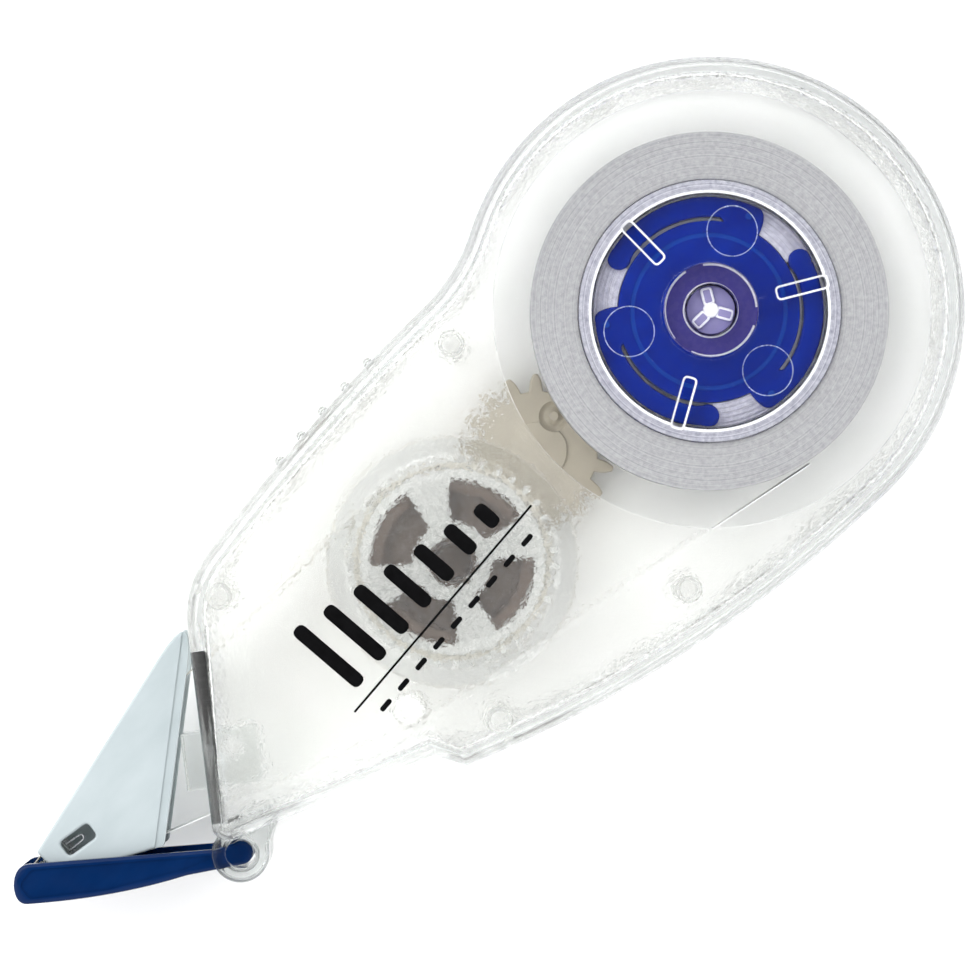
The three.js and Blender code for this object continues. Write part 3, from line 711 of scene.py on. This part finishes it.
def half_shell(face, rim, window):
    """Open half of the case, from face to rim; window is the radius of its clear disc, or 0."""
    inwards = 1 if rim > face else -1
    depth_of_rim = abs(rim - face)
    corner = 0.5
    chamfer = 0.1
    levels = edge_levels(EDGE_ROUND, 8)
    outer_wall = len(levels) - 1
    levels += [(0, depth_of_rim - chamfer), (chamfer, depth_of_rim)]
    levels += [(SIDE_WALL - chamfer, depth_of_rim), (SIDE_WALL, depth_of_rim - chamfer)]
    inner_wall = len(levels) - 1
    inner = [(SIDE_WALL + give, FACE_WALL + rise) for give, rise in edge_levels(corner, 4)]
    levels += reversed(inner)
    shape = Shape()
    rings = [shape.ring(case_outline(give), face + inwards * depth) for give, depth in levels]
    for i, (before, after) in enumerate(zip(rings, rings[1:])):
        if i < outer_wall:
            slot = ROUNDED_EDGE
        elif i == outer_wall:
            slot = OUTER_WALL
        elif i <= inner_wall:
            slot = CLEAR_PART
        elif i <= inner_wall + 3:
            slot = INNER_CORNER
        else:
            slot = FACE
        shape.wall(before, after, slot)
    if not window:
        shape.cap([rings[0]])
        shape.cap([rings[-1]])
        return shape.mesh()
    lip = 0.05
    outside = shape.ring(circle((0, 0), window, 144), face)
    sunk = shape.ring(circle((0, 0), window - lip, 144), face + inwards * lip)
    inside = shape.ring(circle((0, 0), window, 144), face + inwards * FACE_WALL)
    shape.cap([rings[0], outside])
    shape.wall(outside, sunk)
    shape.cap([sunk], CLEAR_PART)
    shape.cap([rings[-1], inside])
    shape.cap([inside], CLEAR_PART)
    return shape.mesh()


def hinge_ear(low, high, bottom, top):
    outline = arc(HINGE, EAR_R, 118, 325, 40)
    outline += curve(outline[-1], (-53.3, -5.35), (-51.7, -4.85), 8)[1:]
    outline += [(-51.2, -3.6), (-54.6, -2.0)]
    bore = circle(HINGE, CAP_PIN_R + 0.22, 40)
    return slab(outline, low, high, bottom, top, [bore], ROUNDED_EDGE)


def finger_ribs(low, high):
    ribs = []
    for i in range(RIB_COUNT):
        x = RIB_FIRST_X + i * RIB_STEP
        foot = (x, ribbed_edge_y(x) + 0.05)
        ribs.append(disc(foot, RIB_R, low, high, 0.3, 0.3, 20, ROUNDED_EDGE))
    return ribs


def mouth_block():
    middle = polar(FRONT_FOOT, 8.45, FRONT_SLOPE)
    outline = box_outline(middle, 13.5, 4.4, FRONT_SLOPE, 0.4)
    # Its faces, cut into the shells, take the hazy white: painted light on the case's mouth.
    return slab(outline, MID - MOUTH_HALF, MID + MOUTH_HALF, 0, 0, slot=PAINTED_LIGHT_PART)


def front_shell():
    face, rim = THICK, FRONT_RIM
    root = face - FACE_WALL + 0.3
    shell = half_shell(face, rim, WINDOW_R)
    added = [hinge_ear(rim, MID + EAR_HALF, 0.08, 0.45)] + finger_ribs(rim, THICK - 2.3)
    for latch in LATCHES:
        added.append(hoop(latch, LATCH_PIN_R + 0.1, LATCH_POST_R, rim, root, 0.05, 32))
    bore = POST_R + FIT
    added.append(hoop(SUPPLY, bore, BOSS_R, BOSS_LOW, root, 0.1, 96, HAZY_PART))
    # The white ring round the bore and the white lines on the boss rim are painted highlights.
    added.append(hoop(SUPPLY, bore, bore + 0.13, BOSS_LOW - 0.05, BOSS_LOW + 0.2, 0.04, 96,
                      PAINTED_LIGHT_PART))
    for middle in (126.5, 7.5, 248.5):
        rim_line = sector(SUPPLY, BOSS_R - 0.17, BOSS_R, middle - 48, middle + 48, 0.06, 32)
        added.append(slab(rim_line, BOSS_LOW - 0.1, BOSS_LOW + 0.2, 0.04, 0, slot=PAINTED_LIGHT_PART))
    added.append(disc(TAKEUP, 1.5, 6, root, 0.25, 0, 40))
    shell = join(shell, *added)
    shell = cut(shell, mouth_block())
    build("front_shell_clear", shell, "case",
          [FROSTED, CLEAR, PURPLE_HAZE, WHITE_PAINTED_LIGHT, CASE_EDGE_SHADE, CASE_CORNER_SHADE, CASE_WALL],
          ["front_shell"])


def rear_shell():
    face, rim = 0, REAR_RIM
    root = FACE_WALL - 0.3
    shell = half_shell(face, rim, 0)
    added = [hinge_ear(MID - EAR_HALF, rim, 0.45, 0.08)] + finger_ribs(2.3, rim)
    for latch in LATCHES:
        added.append(disc(latch, LATCH_POST_R, root, rim, 0, 0.1, 32))
        added.append(disc(latch, LATCH_PIN_R, rim - 1, 12, 0, 0.25, 24))
    added.append(disc(SUPPLY, POST_R, root, POST_TOP, 0, 0.1, 64, HAZY_PART))
    # The white rims of the wings and the white centre are painted highlights.
    for wing in WING_ANGLES:
        outline = box_outline(polar(SUPPLY, 1.1, wing), 1.4, 0.95, wing, 0.3)
        added.append(slab(outline, POST_TOP - 0.2, POST_TOP + 0.35, 0, 0.12, slot=PAINTED_LIGHT_PART))
        added.append(slab(inset(outline, 0.2), POST_TOP - 0.2, POST_TOP + 0.4, 0, 0.03,
                          slot=HAZY_PART))
    added.append(disc(SUPPLY, 0.62, POST_TOP - 0.2, POST_TOP + 0.45, 0, 0.2, 40, PAINTED_LIGHT_PART))
    added.append(disc(IDLER, 1.3, root, IDLER_POST_TOP, 0, 0.15, 36))
    added.append(disc(GUIDE_POST, GUIDE_POST_R, root, MID + 3.2, 0, 0.25, 40))
    shell = join(shell, *added)
    slack_hole = lathe(TAKEUP, [(0, -1, 0), (3.2, -1, 0), (3.2, FACE_WALL + 1, 0),
                                (0, FACE_WALL + 1, 0)], 64)
    shell = cut(shell, mouth_block(), slack_hole)
    build("rear_shell_clear", shell, "case",
          [FINE_FROSTED, CLEAR, LILAC_HAZE, WHITE_PAINTED_LIGHT, CASE_EDGE_SHADE, CASE_CORNER_SHADE, CASE_WALL],
          ["rear_shell"])


def printed_mark():
    """Bars, a rule and dashes where the real case is printed; no letters or figures."""
    low, high = THICK + 0.006, THICK + 0.03
    rule_from, rule_to = (-41.6, -3.0), (-20.6, -1.1)
    slope = angle_to(rule_from, rule_to)
    length = math.dist(rule_from, rule_to)
    middle = ((rule_from[0] + rule_to[0]) / 2, (rule_from[1] + rule_to[1]) / 2)
    outlines = [box_outline(middle, length, 0.18, slope, 0.05)]
    for i in range(7):
        height = 2.2 + 0.75 * (6 - i)
        foot = polar(rule_from, 2 + i * 2.7, slope)
        centre = polar(foot, 1.0 + height / 2, slope + 90)
        outlines.append(box_outline(centre, height, 1.15, slope + 90, 0.55))
    for i in range(9):
        centre = polar(polar(rule_from, 2 + i * 2.1, slope), 1.5, slope - 90)
        outlines.append(box_outline(centre, 1.15, 0.42, slope, 0.2))
    for number, outline in enumerate(outlines):
        build(f"printed_bar_{number:02d}", slab(outline, low, high, 0, 0.008), "case",
              [INK])


# ---- Gear train ---------------------------------------------------------------------------

TO_IDLER = angle_to(SUPPLY, IDLER)
TO_TAKEUP = angle_to(IDLER, TAKEUP)
SMALL_PITCH = 360 / SMALL_TEETH
IDLER_PHASE = TO_IDLER + 180 + SMALL_PITCH / 2
IDLER_LEAD = math.fmod(IDLER_PHASE - TO_TAKEUP, SMALL_PITCH)
TAKEUP_PHASE = TO_TAKEUP + 180 - IDLER_LEAD + SMALL_PITCH / 2


def gear_blank(centre, teeth, phase, bore, high):
    outline = moved(gear_outline(teeth, phase), centre)
    return slab(outline, GEAR_LOW, high, 0.06, 0.06, [circle(centre, bore, 48)])


def supply_gear():
    body = gear_blank(SUPPLY, SUPPLY_TEETH, TO_IDLER, POST_R + FIT, GEAR_HIGH)
    hub_outline = rounded([(*polar(SUPPLY, HUB_R, 60 * i), 0.15) for i in range(6)], 3)
    hub = slab(hub_outline, GEAR_HIGH - 0.4, 7, 0, 0.15, [circle(SUPPLY, POST_R + FIT, 48)])
    grooves = [hoop(SUPPLY, r - 0.14, r + 0.14, GEAR_HIGH - 0.12, GEAR_HIGH + 0.5, 0, 96)
               for r in (5.2, 7.8, 9.6)]
    steps = []  # not in the frame: light lines between the clutch's arms
    for start in STEP_STARTS:
        for i in range(5):
            inner = 7.2 + 0.39 * i
            block = sector(SUPPLY, inner, inner + 0.44, start, start + 30, 0.05, 16)
            steps.append(slab(block, GEAR_HIGH - 0.2 - 0.01 * i, 8.1 - 0.14 * i, 0, 0.05, slot=1))
    body = cut(join(body, hub), *grooves)
    body = join(body, *steps)
    build("supply_gear_clear", body, "clutch", [GEAR_CLEAR, WEB_HAZE],
          ["supply_gear"])


def clutch_arm(root_angle):
    """Sprung arm that sweeps round from its root to a free rounded end."""
    tip_angle = root_angle + 74
    outline = arc(SUPPLY, 9.05, root_angle - 11.5, tip_angle - 4, 30)
    outline += arc(polar(SUPPLY, 8.2, tip_angle), 0.93, tip_angle - 35, tip_angle + 205, 18)
    outline += arc(SUPPLY, 7.45, tip_angle - 7, root_angle + 8, 26)
    outline += curve(polar(SUPPLY, 7.4, root_angle + 7), polar(SUPPLY, 7.3, root_angle + 5),
                     polar(SUPPLY, 6.7, root_angle + 5), 4)
    outline += arc(SUPPLY, 6.7, root_angle + 4, root_angle - 16, 6)
    outline += curve(polar(SUPPLY, 7.15, root_angle - 18.5), polar(SUPPLY, 8.9, root_angle - 17),
                     outline[0], 8)[:-1]
    return slab(outline, CLUTCH_TOP - 3, CLUTCH_TOP, 0.12, 0.22)


def clutch_spider():
    body = lathe(SUPPLY, [
        (POST_R + FIT, 4.6, 0.1), (7.15, 4.6, 0.15), (7.15, CLUTCH_TOP, 0.12), (3.7, CLUTCH_TOP, 0.3),
        (3.3, 8.75, 0.3), (3.3, 11, 0.2), (POST_R + FIT, 11, 0.1)], 128)
    # Slot 1, the lighter blue, paints highlights in the groove and on the pins.
    groove = hoop(SUPPLY, 5.85, 6.2, CLUTCH_TOP - 0.1, 9, 0.05, 128, 1)
    added = [clutch_arm(root) for root in ARM_ROOTS]
    for angle in PIN_ANGLES:
        added.append(disc(polar(SUPPLY, 8.1, angle), 0.3, 8.2, 8.62, 0, 0.16, 20, 1))
    socket = rounded([(*polar(SUPPLY, HUB_R + FIT, 60 * i), 0.1) for i in range(6)], 2)
    body = cut(join(body, *added), slab(socket, 3, 7.2, 0, 0), groove)
    build("clutch_spider_blue", body, "clutch", [BLUE, BLUE_HIGHLIGHT], ["clutch_spider"])


def idler_gear():
    outline = moved(gear_outline(SMALL_TEETH, IDLER_PHASE), IDLER)
    hub = disc(IDLER, 2.3, GEAR_HIGH - 0.3, 3.65, 0, 0.12, 48)
    bore = disc(IDLER, 1.45, 0, IDLER_POST_TOP + FIT, 0, 0, 40)
    dimple = (IDLER[0] + 2.8, IDLER[1] + 1.1)
    pocket = lathe(dimple, [(0.25, 4.2, 0), (0.35, GEAR_HIGH, 0.1), (0.8, GEAR_HIGH - 0.55, 0.3),
                            (1.2, GEAR_HIGH, 0.1), (1.35, 4.2, 0)], 48)
    body = cut(join(slab(outline, GEAR_LOW, GEAR_HIGH, 0.06, 0.15), hub), pocket, bore)
    build("idler_gear_beige", body, "idler", [BEIGE], ["idler_gear"])


def takeup_gear():
    outline = moved(gear_outline(SMALL_TEETH, TAKEUP_PHASE), TAKEUP)
    body = slab(outline, GEAR_LOW, GEAR_HIGH, 0.06, 0.06)
    added = [
        disc(TAKEUP, 4, GEAR_HIGH - 0.3, 4, 0, 0, 64),
        disc(TAKEUP, 6.4, 3.75, 9.9, 0.1, 0.25, 96),
        disc(TAKEUP, 2.95, 0.5, GEAR_LOW + 0.3, 0.15, 0, 64),
    ]
    slot_outline = box_outline(TAKEUP, 4.6, 1.1, 0, 0.3)
    pin_bore = disc(TAKEUP, 1.65, 4.6, 12, 0, 0, 48)
    lightening = []
    for i in range(4):
        middle = KIDNEY_TURN + 90 * i
        lightening.append(slab(sector(TAKEUP, 2.9, 5.5, middle - 34, middle + 34, 0.5),
                               8.6, 11, 0, 0))
    body = cut(join(body, *added), slab(slot_outline, 0, 1.2, 0, 0), pin_bore, *lightening)
    build("takeup_gear_taupe", body, "takeup_spool", [TAUPE], ["takeup_gear"])


# ---- Reels and tape -----------------------------------------------------------------------


def supply_reel():
    low, high = heights("supply_reel")
    bore = SUPPLY_BORE_R
    face = high - 0.1
    body = lathe(SUPPLY, [
        (3.8, 9.2, 0.1), (bore - 0.3, 9.2, 0.25), (bore, 8.7, 0.2), (bore, low, 0.1),
        (SUPPLY_DRUM_R, low, 0.1), (SUPPLY_DRUM_R, face, 0.12), (3.8, face, 0.12)], 144)
    veil = hoop(SUPPLY, bore, SUPPLY_DRUM_R - 0.05, high - 0.4, high - 0.04, 0.03, 144, 3)
    # Slot 1 paints highlights, a white ring at the web's rim and white chamfers on the slots; slot 2
    # paints a faint highlight in the mark rings.
    cuts = [disc(SUPPLY, bore + 0.03, low - 1, 8.4, 0, 0, 144, 3),
            hoop(SUPPLY, bore - 0.14, bore + 0.08, face - 0.08, high + 1, 0, 144, 1)]
    for angle in WEB_SLOT_ANGLES:
        outline = box_outline(polar(SUPPLY, 7.45, angle), 3.9, 0.85, angle, 0.25)
        cuts.append(flared_cutter(outline, 8, face, 0.16, 1))
    for angle in WEB_MARK_ANGLES:
        cuts.append(hoop(polar(SUPPLY, 6.5, angle), 1.93, 2.01, face - 0.04, high + 1, 0, 72, 2))
    build("supply_reel_clear", cut(join(body, veil), *cuts), "supply_spool",
          [CLEAR, WHITE_PAINTED_LIGHT, FAINT_PAINTED_HIGHLIGHT, DRUM_HAZE], ["supply_reel"])


def supply_roll():
    body = hoop(SUPPLY, SUPPLY_DRUM_R + 0.03, SUPPLY_ROLL_R, TAPE_LOW, TAPE_HIGH, 0.04, 160)
    build("supply_tape_wound", body, "supply_spool", [ROLL], ["supply_tape_roll"])


def takeup_reel():
    low, high = heights("takeup_reel")
    drum, bore, flange = TAKEUP_DRUM_R, 6.6, 0.7
    body = lathe(TAKEUP, [
        (bore, low, 0.1), (FLANGE_R, low, 0.2), (FLANGE_R, low + flange, 0.2),
        (drum, low + flange, 0.15), (drum, high - flange, 0.15), (FLANGE_R, high - flange, 0.2),
        (FLANGE_R, high, 0.2), (8.4, high, 0.05), (8.3, high - 0.15, 0.05), (bore, high - 0.15, 0),
    ], 144)
    web = hoop(TAKEUP, 1.9, drum + 0.1, high - flange, high, 0.1, 128, 1)
    cuts = []
    for i in range(4):
        middle = KIDNEY_TURN + 90 * i
        cuts.append(slab(sector(TAKEUP, 3.1, 6.5, middle - 30, middle + 30, 0.5),
                         high - 1, high + 1, 0, 0))
    ticks = []
    for i in range(TICKS):
        angle = 360 * i / TICKS
        outline = box_outline(polar(TAKEUP, 7.95, angle), 0.6, 0.4, angle, 0.1)
        ticks.append(slab(outline, high - 0.3, high - 0.02, 0, 0.04, slot=1))
    body = join(cut(join(body, web), *cuts), *ticks)
    build("takeup_reel_clear", body, "takeup_spool", [CLEAR, MILKY],
          ["takeup_reel"])


def used_roll():
    body = hoop(TAKEUP, TAKEUP_DRUM_R + 0.15, USED_ROLL_R, TAPE_LOW, TAPE_HIGH, 0.05, 128)
    build("used_tape_wound", body, "takeup_spool", [USED_ROLL], ["used_tape_roll"])


def tangent_normal(a, radius_a, b, radius_b):
    """Angle at which the line from circle a to circle b, on their left, touches them."""
    return angle_to(a, b) + math.degrees(math.acos((radius_a - radius_b) / math.dist(a, b)))


def ribbon(points, thick=0.06):
    """Upright strip of tape along a path, thinner than the frame's."""
    left, right = [], []
    for i, point in enumerate(points):
        heading = angle_to(points[max(i - 1, 0)], points[min(i + 1, len(points) - 1)])
        left.append(polar(point, thick / 2, heading + 90))
        right.append(polar(point, thick / 2, heading - 90))
    return slab(right + left[::-1], TAPE_LOW, TAPE_HIGH, 0, 0)


def tape_runs():
    wrap_r = TIP_ROLLER_R + 0.21
    post_r = GUIDE_POST_R + 0.21
    leave_r = SUPPLY_ROLL_R + 0.3
    head_guide = (-50.2, 8.25)
    off_supply = tangent_normal(SUPPLY, leave_r, GUIDE_POST, post_r) - 360
    off_post = tangent_normal(GUIDE_POST, post_r, TIP, wrap_r) - 360
    fresh = [polar(SUPPLY, leave_r, off_supply)]
    fresh += arc(GUIDE_POST, post_r, off_supply, off_post, 6)
    fresh += arc(TIP, wrap_r, off_post, -170, 10)
    build("fresh_tape", ribbon(fresh), "case", [WHITE_FILM], ["feed_tape_run"])
    reach = math.dist(TIP, head_guide)
    off_tip = angle_to(TIP, head_guide) + math.degrees(math.acos(wrap_r / reach))
    back = arc(TIP, wrap_r, 160, off_tip, 8)
    back += [head_guide, (TAKEUP[0], TAKEUP[1] + USED_ROLL_R + 0.3)]
    build("bare_tape", ribbon(back), "case", [CARRIER_FILM], ["return_tape_run"])


# ---- Head ---------------------------------------------------------------------------------


def wire_window(grow=0.0):
    return box_outline(WIRE_WINDOW, 2.75 + grow, 1.35 + grow, WINDOW_TURN, 0.4)


def head_plates():
    low, high = heights("head_front_plate")
    outline = rounded(PLATE, 8)
    front = slab(outline, low, high, 0.1, 0.22, [wire_window()])
    bevel_edge = [PLATE[2][:2], PLATE[3][:2]]
    slope = angle_to(*bevel_edge)
    middle = [(bevel_edge[0][k] + bevel_edge[1][k]) / 2 for k in (0, 1)]
    ledge = slab(box_outline(polar(middle, 0.25, slope + 90), 30, 1.0, slope, 0.1),
                 high - 0.14, high + 1, 0, 0)
    front = cut(front, ledge)
    build("head_front_cover", front, "case", [PALE_GREY], ["head_front_plate"])
    low, high = heights("head_rear_plate")
    rear = slab(outline, low, high, 0.22, 0.1)
    build("head_rear_cover", rear, "case", [PALE_GREY], ["head_rear_plate"])


def head_core():
    low, high = heights("head_core")
    outline = rounded([
        (-65.1, 5.9, 0.3), (-65.1, 3.6, 0.3), (-58.9, 1.2, 0.3), (-57.2, 2.1, 0.2),
        (-51.2, 7.1, 0.3), (-50.2, 7.95, 0.3)])
    body = cut(slab(outline, low, high, 0.12, 0.12), slab(wire_window(), MID + 0.6, MID + 4, 0, 0))
    build("head_core_block", body, "case", [PALE_GREY], ["head_core"])


def head_neck():
    low, high = heights("head_neck")
    outline = rounded([(-52.85, 5.25, 0.2), (-55.6, 1.65, 0.2), (-50.7, -1.95, 0.6),
                       (-47.95, 1.65, 0.6)])
    body = slab(outline, low, high, 0.2, 0.2, [circle((-50.6, 1.7), 0.9, 32)])
    build("head_neck_stalk", body, "case", [SMOKY], ["head_neck"])


def tip_holder():
    core_low, core_high = heights("head_core")
    low, high = heights("tip_holder")
    tongue = rounded([(-67.8, 5.5, 0.1), (-67.8, 4.5, 0.1), (-65.4, 3.95, 0.1), (-65.4, 5.85, 0.1)])
    bridge = rounded([(-67.8, 5.6, 0.1), (-67.8, 4.45, 0.1), (-67.45, 4.3, 0.1),
                      (-67.45, 5.75, 0.1)])
    arm = rounded([(-67.5, 5.7, 0.1), (TIP[0], TIP[1] + 0.7, 0), (TIP[0], TIP[1] - 0.7, 0),
                   (-67.5, 4.35, 0.1)])
    added = [slab(bridge, low, high, 0.05, 0.05)]
    for start in (low, high - 0.7):
        added.append(disc(TIP, 0.8, start, start + 0.7, 0.1, 0.1, 32))
        added.append(slab(arm, start, start + 0.7, 0.08, 0.08))
    body = join(slab(tongue, core_low, core_high, 0.08, 0.08), *added)
    body = cut(body, disc(TIP, 0.38, 0, THICK, 0, 0, 24))
    build("tip_fork", body, "case", [SMOKY], ["tip_holder"])


def tip_parts():
    low, high = heights("tip_roller")
    build("tip_roller_natural", hoop(TIP, 0.34, TIP_ROLLER_R, low, high, 0.06, 48), "roller",
          [NATURAL], ["tip_roller"])
    low, high = heights("tip_axle")
    build("tip_axle_steel", disc(TIP, AXLE_R, low, high, 0.06, 0.06, 28), "case",
          [STEEL], ["tip_axle"])


def tip_spring():
    low, high = heights("tip_spring")
    wire_r = (high - low) / 2
    height = (high + low) / 2
    legs = [(-1.15, 0.3), (-0.5, 0.28), (0.1, 0.24)]
    loop = arc((0.1, 0), 0.24, 90, -90, 10)
    flat = legs[:-1] + loop + [(-0.5, -0.28), (-1.15, -0.3)]
    path = [(*point, height) for point in turned(moved(flat, WIRE_WINDOW), WIRE_WINDOW, WINDOW_TURN)]
    build("tip_spring_wire", tube(path, wire_r), "case", [STEEL], ["tip_spring"])


# ---- Cap ----------------------------------------------------------------------------------


def cap_profile():
    """Side view of the cap: x runs from the hinge to the far end, y towards its back."""
    points = arc((0, 0), CAP_PIN_R, 95, 300, 28)
    points += [(2, -0.4), (16.6, -0.4)]
    points += curve((16.6, -0.4), (CAP_LENGTH - 0.15, -0.35), (CAP_LENGTH, 1.2), 8)[1:]
    points += curve((CAP_LENGTH, 1.2), (CAP_LENGTH, 2.7), (16.9, 2.72), 8)[1:]
    points += curve((16.9, 2.72), (10, 2.75), (4.4, 1.45), 16)[1:]
    return points


def cap():
    low, high = heights("cap")
    side_wall, base_wall, base_start = 0.9, 0.75, 4.3
    outer = cap_profile()
    hollow = [(-3, -3), (16.2, -3), (17.3, -0.5)]
    hollow += curve((17.3, -0.5), (17.35, 1.95), (16.4, 2.72 - base_wall), 8)[1:]
    hollow += curve((16.4, 2.72 - base_wall), (10, 2.7 - base_wall), (4.6, 1.45 - base_wall), 12)[1:]
    hollow += [(base_start, 0.4), (base_start, 3), (-3, 3)]

    def placed(points):
        return moved(turned(points, (0, 0), CAP_DIRECTION), HINGE)

    panel = rounded([(1.6, 0.05, 0.2), (16.4, 0.05, 0.6), (17.45, 1.2, 0.6), (16.7, 2.3, 0.5),
                     (10.5, 2.05, 2), (4.6, 0.98, 0.6)])
    cuts = [slab(placed(hollow), low + side_wall, high - side_wall, 0.1, 0.1)]
    cuts.append(slab(placed(panel), high - 0.1, high + 1, 0, 0))
    cuts.append(slab(placed(panel), low - 1, low + 0.1, 0, 0))
    body = cut(slab(placed(outer), low, high, 0.28, 0.28), *cuts)
    pins = [disc(HINGE, CAP_PIN_R, low + 0.3, low + side_wall + 2, 0.1, 0.12, 40),
            disc(HINGE, CAP_PIN_R, high - side_wall - 2, high - 0.3, 0.12, 0.1, 40)]
    build("cap_navy", join(body, *pins), "tip_cap", [NAVY], ["cap"])


# ---- Studio -------------------------------------------------------------------------------


def pale_floor():
    finish = Finish("studio_floor", Specular_IOR_Level=0.1)
    finish.tint(finish.noise(60, 2), (0.94, 0.94, 0.94), (0.95, 0.95, 0.95))
    finish.rough(finish.noise(4, 2), 0.75, 0.85)
    shape = Shape()
    size, drop, count = 900, 0.05, 12
    for i in range(count + 1):
        for j in range(count + 1):
            shape.points.append((-size + 2 * size * i / count, -size + 2 * size * j / count, -drop))
    for i in range(count):
        for j in range(count):
            corner = i * (count + 1) + j
            shape.face([corner, corner + count + 1, corner + count + 2, corner + 1])
    mesh = shape.mesh()
    for vertex in mesh.vertices:
        vertex.co *= MM
    mesh.materials.clear()
    mesh.materials.append(finish.material)
    floor = bpy.data.objects.new("studio_floor", mesh)
    bpy.context.scene.collection.objects.link(floor)


def soft_light(name, place, size, power):
    lamp = bpy.data.lights.new(name, "AREA")
    lamp.size = size
    lamp.energy = power
    light = bpy.data.objects.new(name, lamp)
    light.location = place
    light.rotation_euler = (Vector((-0.02, 0, 0)) - Vector(place)).to_track_quat("-Z", "Y").to_euler()
    bpy.context.scene.collection.objects.link(light)


def studio():
    pale_floor()
    world = bpy.data.worlds.new("studio")
    world.use_nodes = True
    nodes, links = world.node_tree.nodes, world.node_tree.links
    direction = nodes.new("ShaderNodeTexCoord").outputs["Generated"]
    towards_key = nodes.new("ShaderNodeVectorMath")
    towards_key.operation = "DOT_PRODUCT"
    towards_key.inputs[1].default_value = (-0.1, 0.85, 0.5)
    links.new(direction, towards_key.inputs[0])
    brightness = nodes.new("ShaderNodeMapRange")
    brightness.inputs["From Min"].default_value = -1
    brightness.inputs["To Min"].default_value = 1.05
    brightness.inputs["To Max"].default_value = 2.05
    links.new(towards_key.outputs["Value"], brightness.inputs["Value"])
    height = nodes.new("ShaderNodeSeparateXYZ")
    links.new(direction, height.inputs[0])
    # Straight overhead the world is dark, so that flat faces don't mirror a bright ceiling.
    ceiling = nodes.new("ShaderNodeMapRange")
    ceiling.inputs["From Min"].default_value = 0.95
    ceiling.inputs["From Max"].default_value = 0.985
    ceiling.inputs["To Min"].default_value = 1.0
    ceiling.inputs["To Max"].default_value = 0.06
    links.new(height.outputs["Z"], ceiling.inputs["Value"])
    strength = nodes.new("ShaderNodeMath")
    strength.operation = "MULTIPLY"
    links.new(brightness.outputs["Result"], strength.inputs[0])
    links.new(ceiling.outputs["Result"], strength.inputs[1])
    links.new(strength.outputs[0], nodes["Background"].inputs["Strength"])
    nodes["Background"].inputs["Color"].default_value = (1, 1, 1, 1)
    scene = bpy.context.scene
    scene.world = world
    scene.view_settings.view_transform = "Standard"
    scene.cycles.blur_glossy = 0
    scene.cycles.max_bounces = 32
    scene.cycles.diffuse_bounces = 16
    scene.cycles.glossy_bounces = 16
    scene.cycles.transmission_bounces = 24
    scene.cycles.transparent_max_bounces = 16
    soft_light("key", (-0.05, 0.42, 0.5), 0.35, 1.2)


def camera():
    made = bpy.data.cameras.new("camera")
    made.lens = CAMERA_LENS
    made.clip_start = 0.01
    eye = bpy.data.objects.new("camera", made)
    eye.location = (CAMERA_AIM[0] * MM, CAMERA_AIM[1] * MM, CAMERA_HEIGHT * MM)
    eye.rotation_euler = (0, 0, math.radians(-CAMERA_TURN))
    bpy.context.scene.collection.objects.link(eye)
    bpy.context.scene.camera = eye


# ---- The whole part -----------------------------------------------------------------------

front_shell()
rear_shell()
printed_mark()
supply_gear()
clutch_spider()
idler_gear()
takeup_gear()
supply_reel()
supply_roll()
takeup_reel()
used_roll()
tape_runs()
head_plates()
head_core()
head_neck()
tip_holder()
tip_parts()
tip_spring()
cap()
studio()
camera()
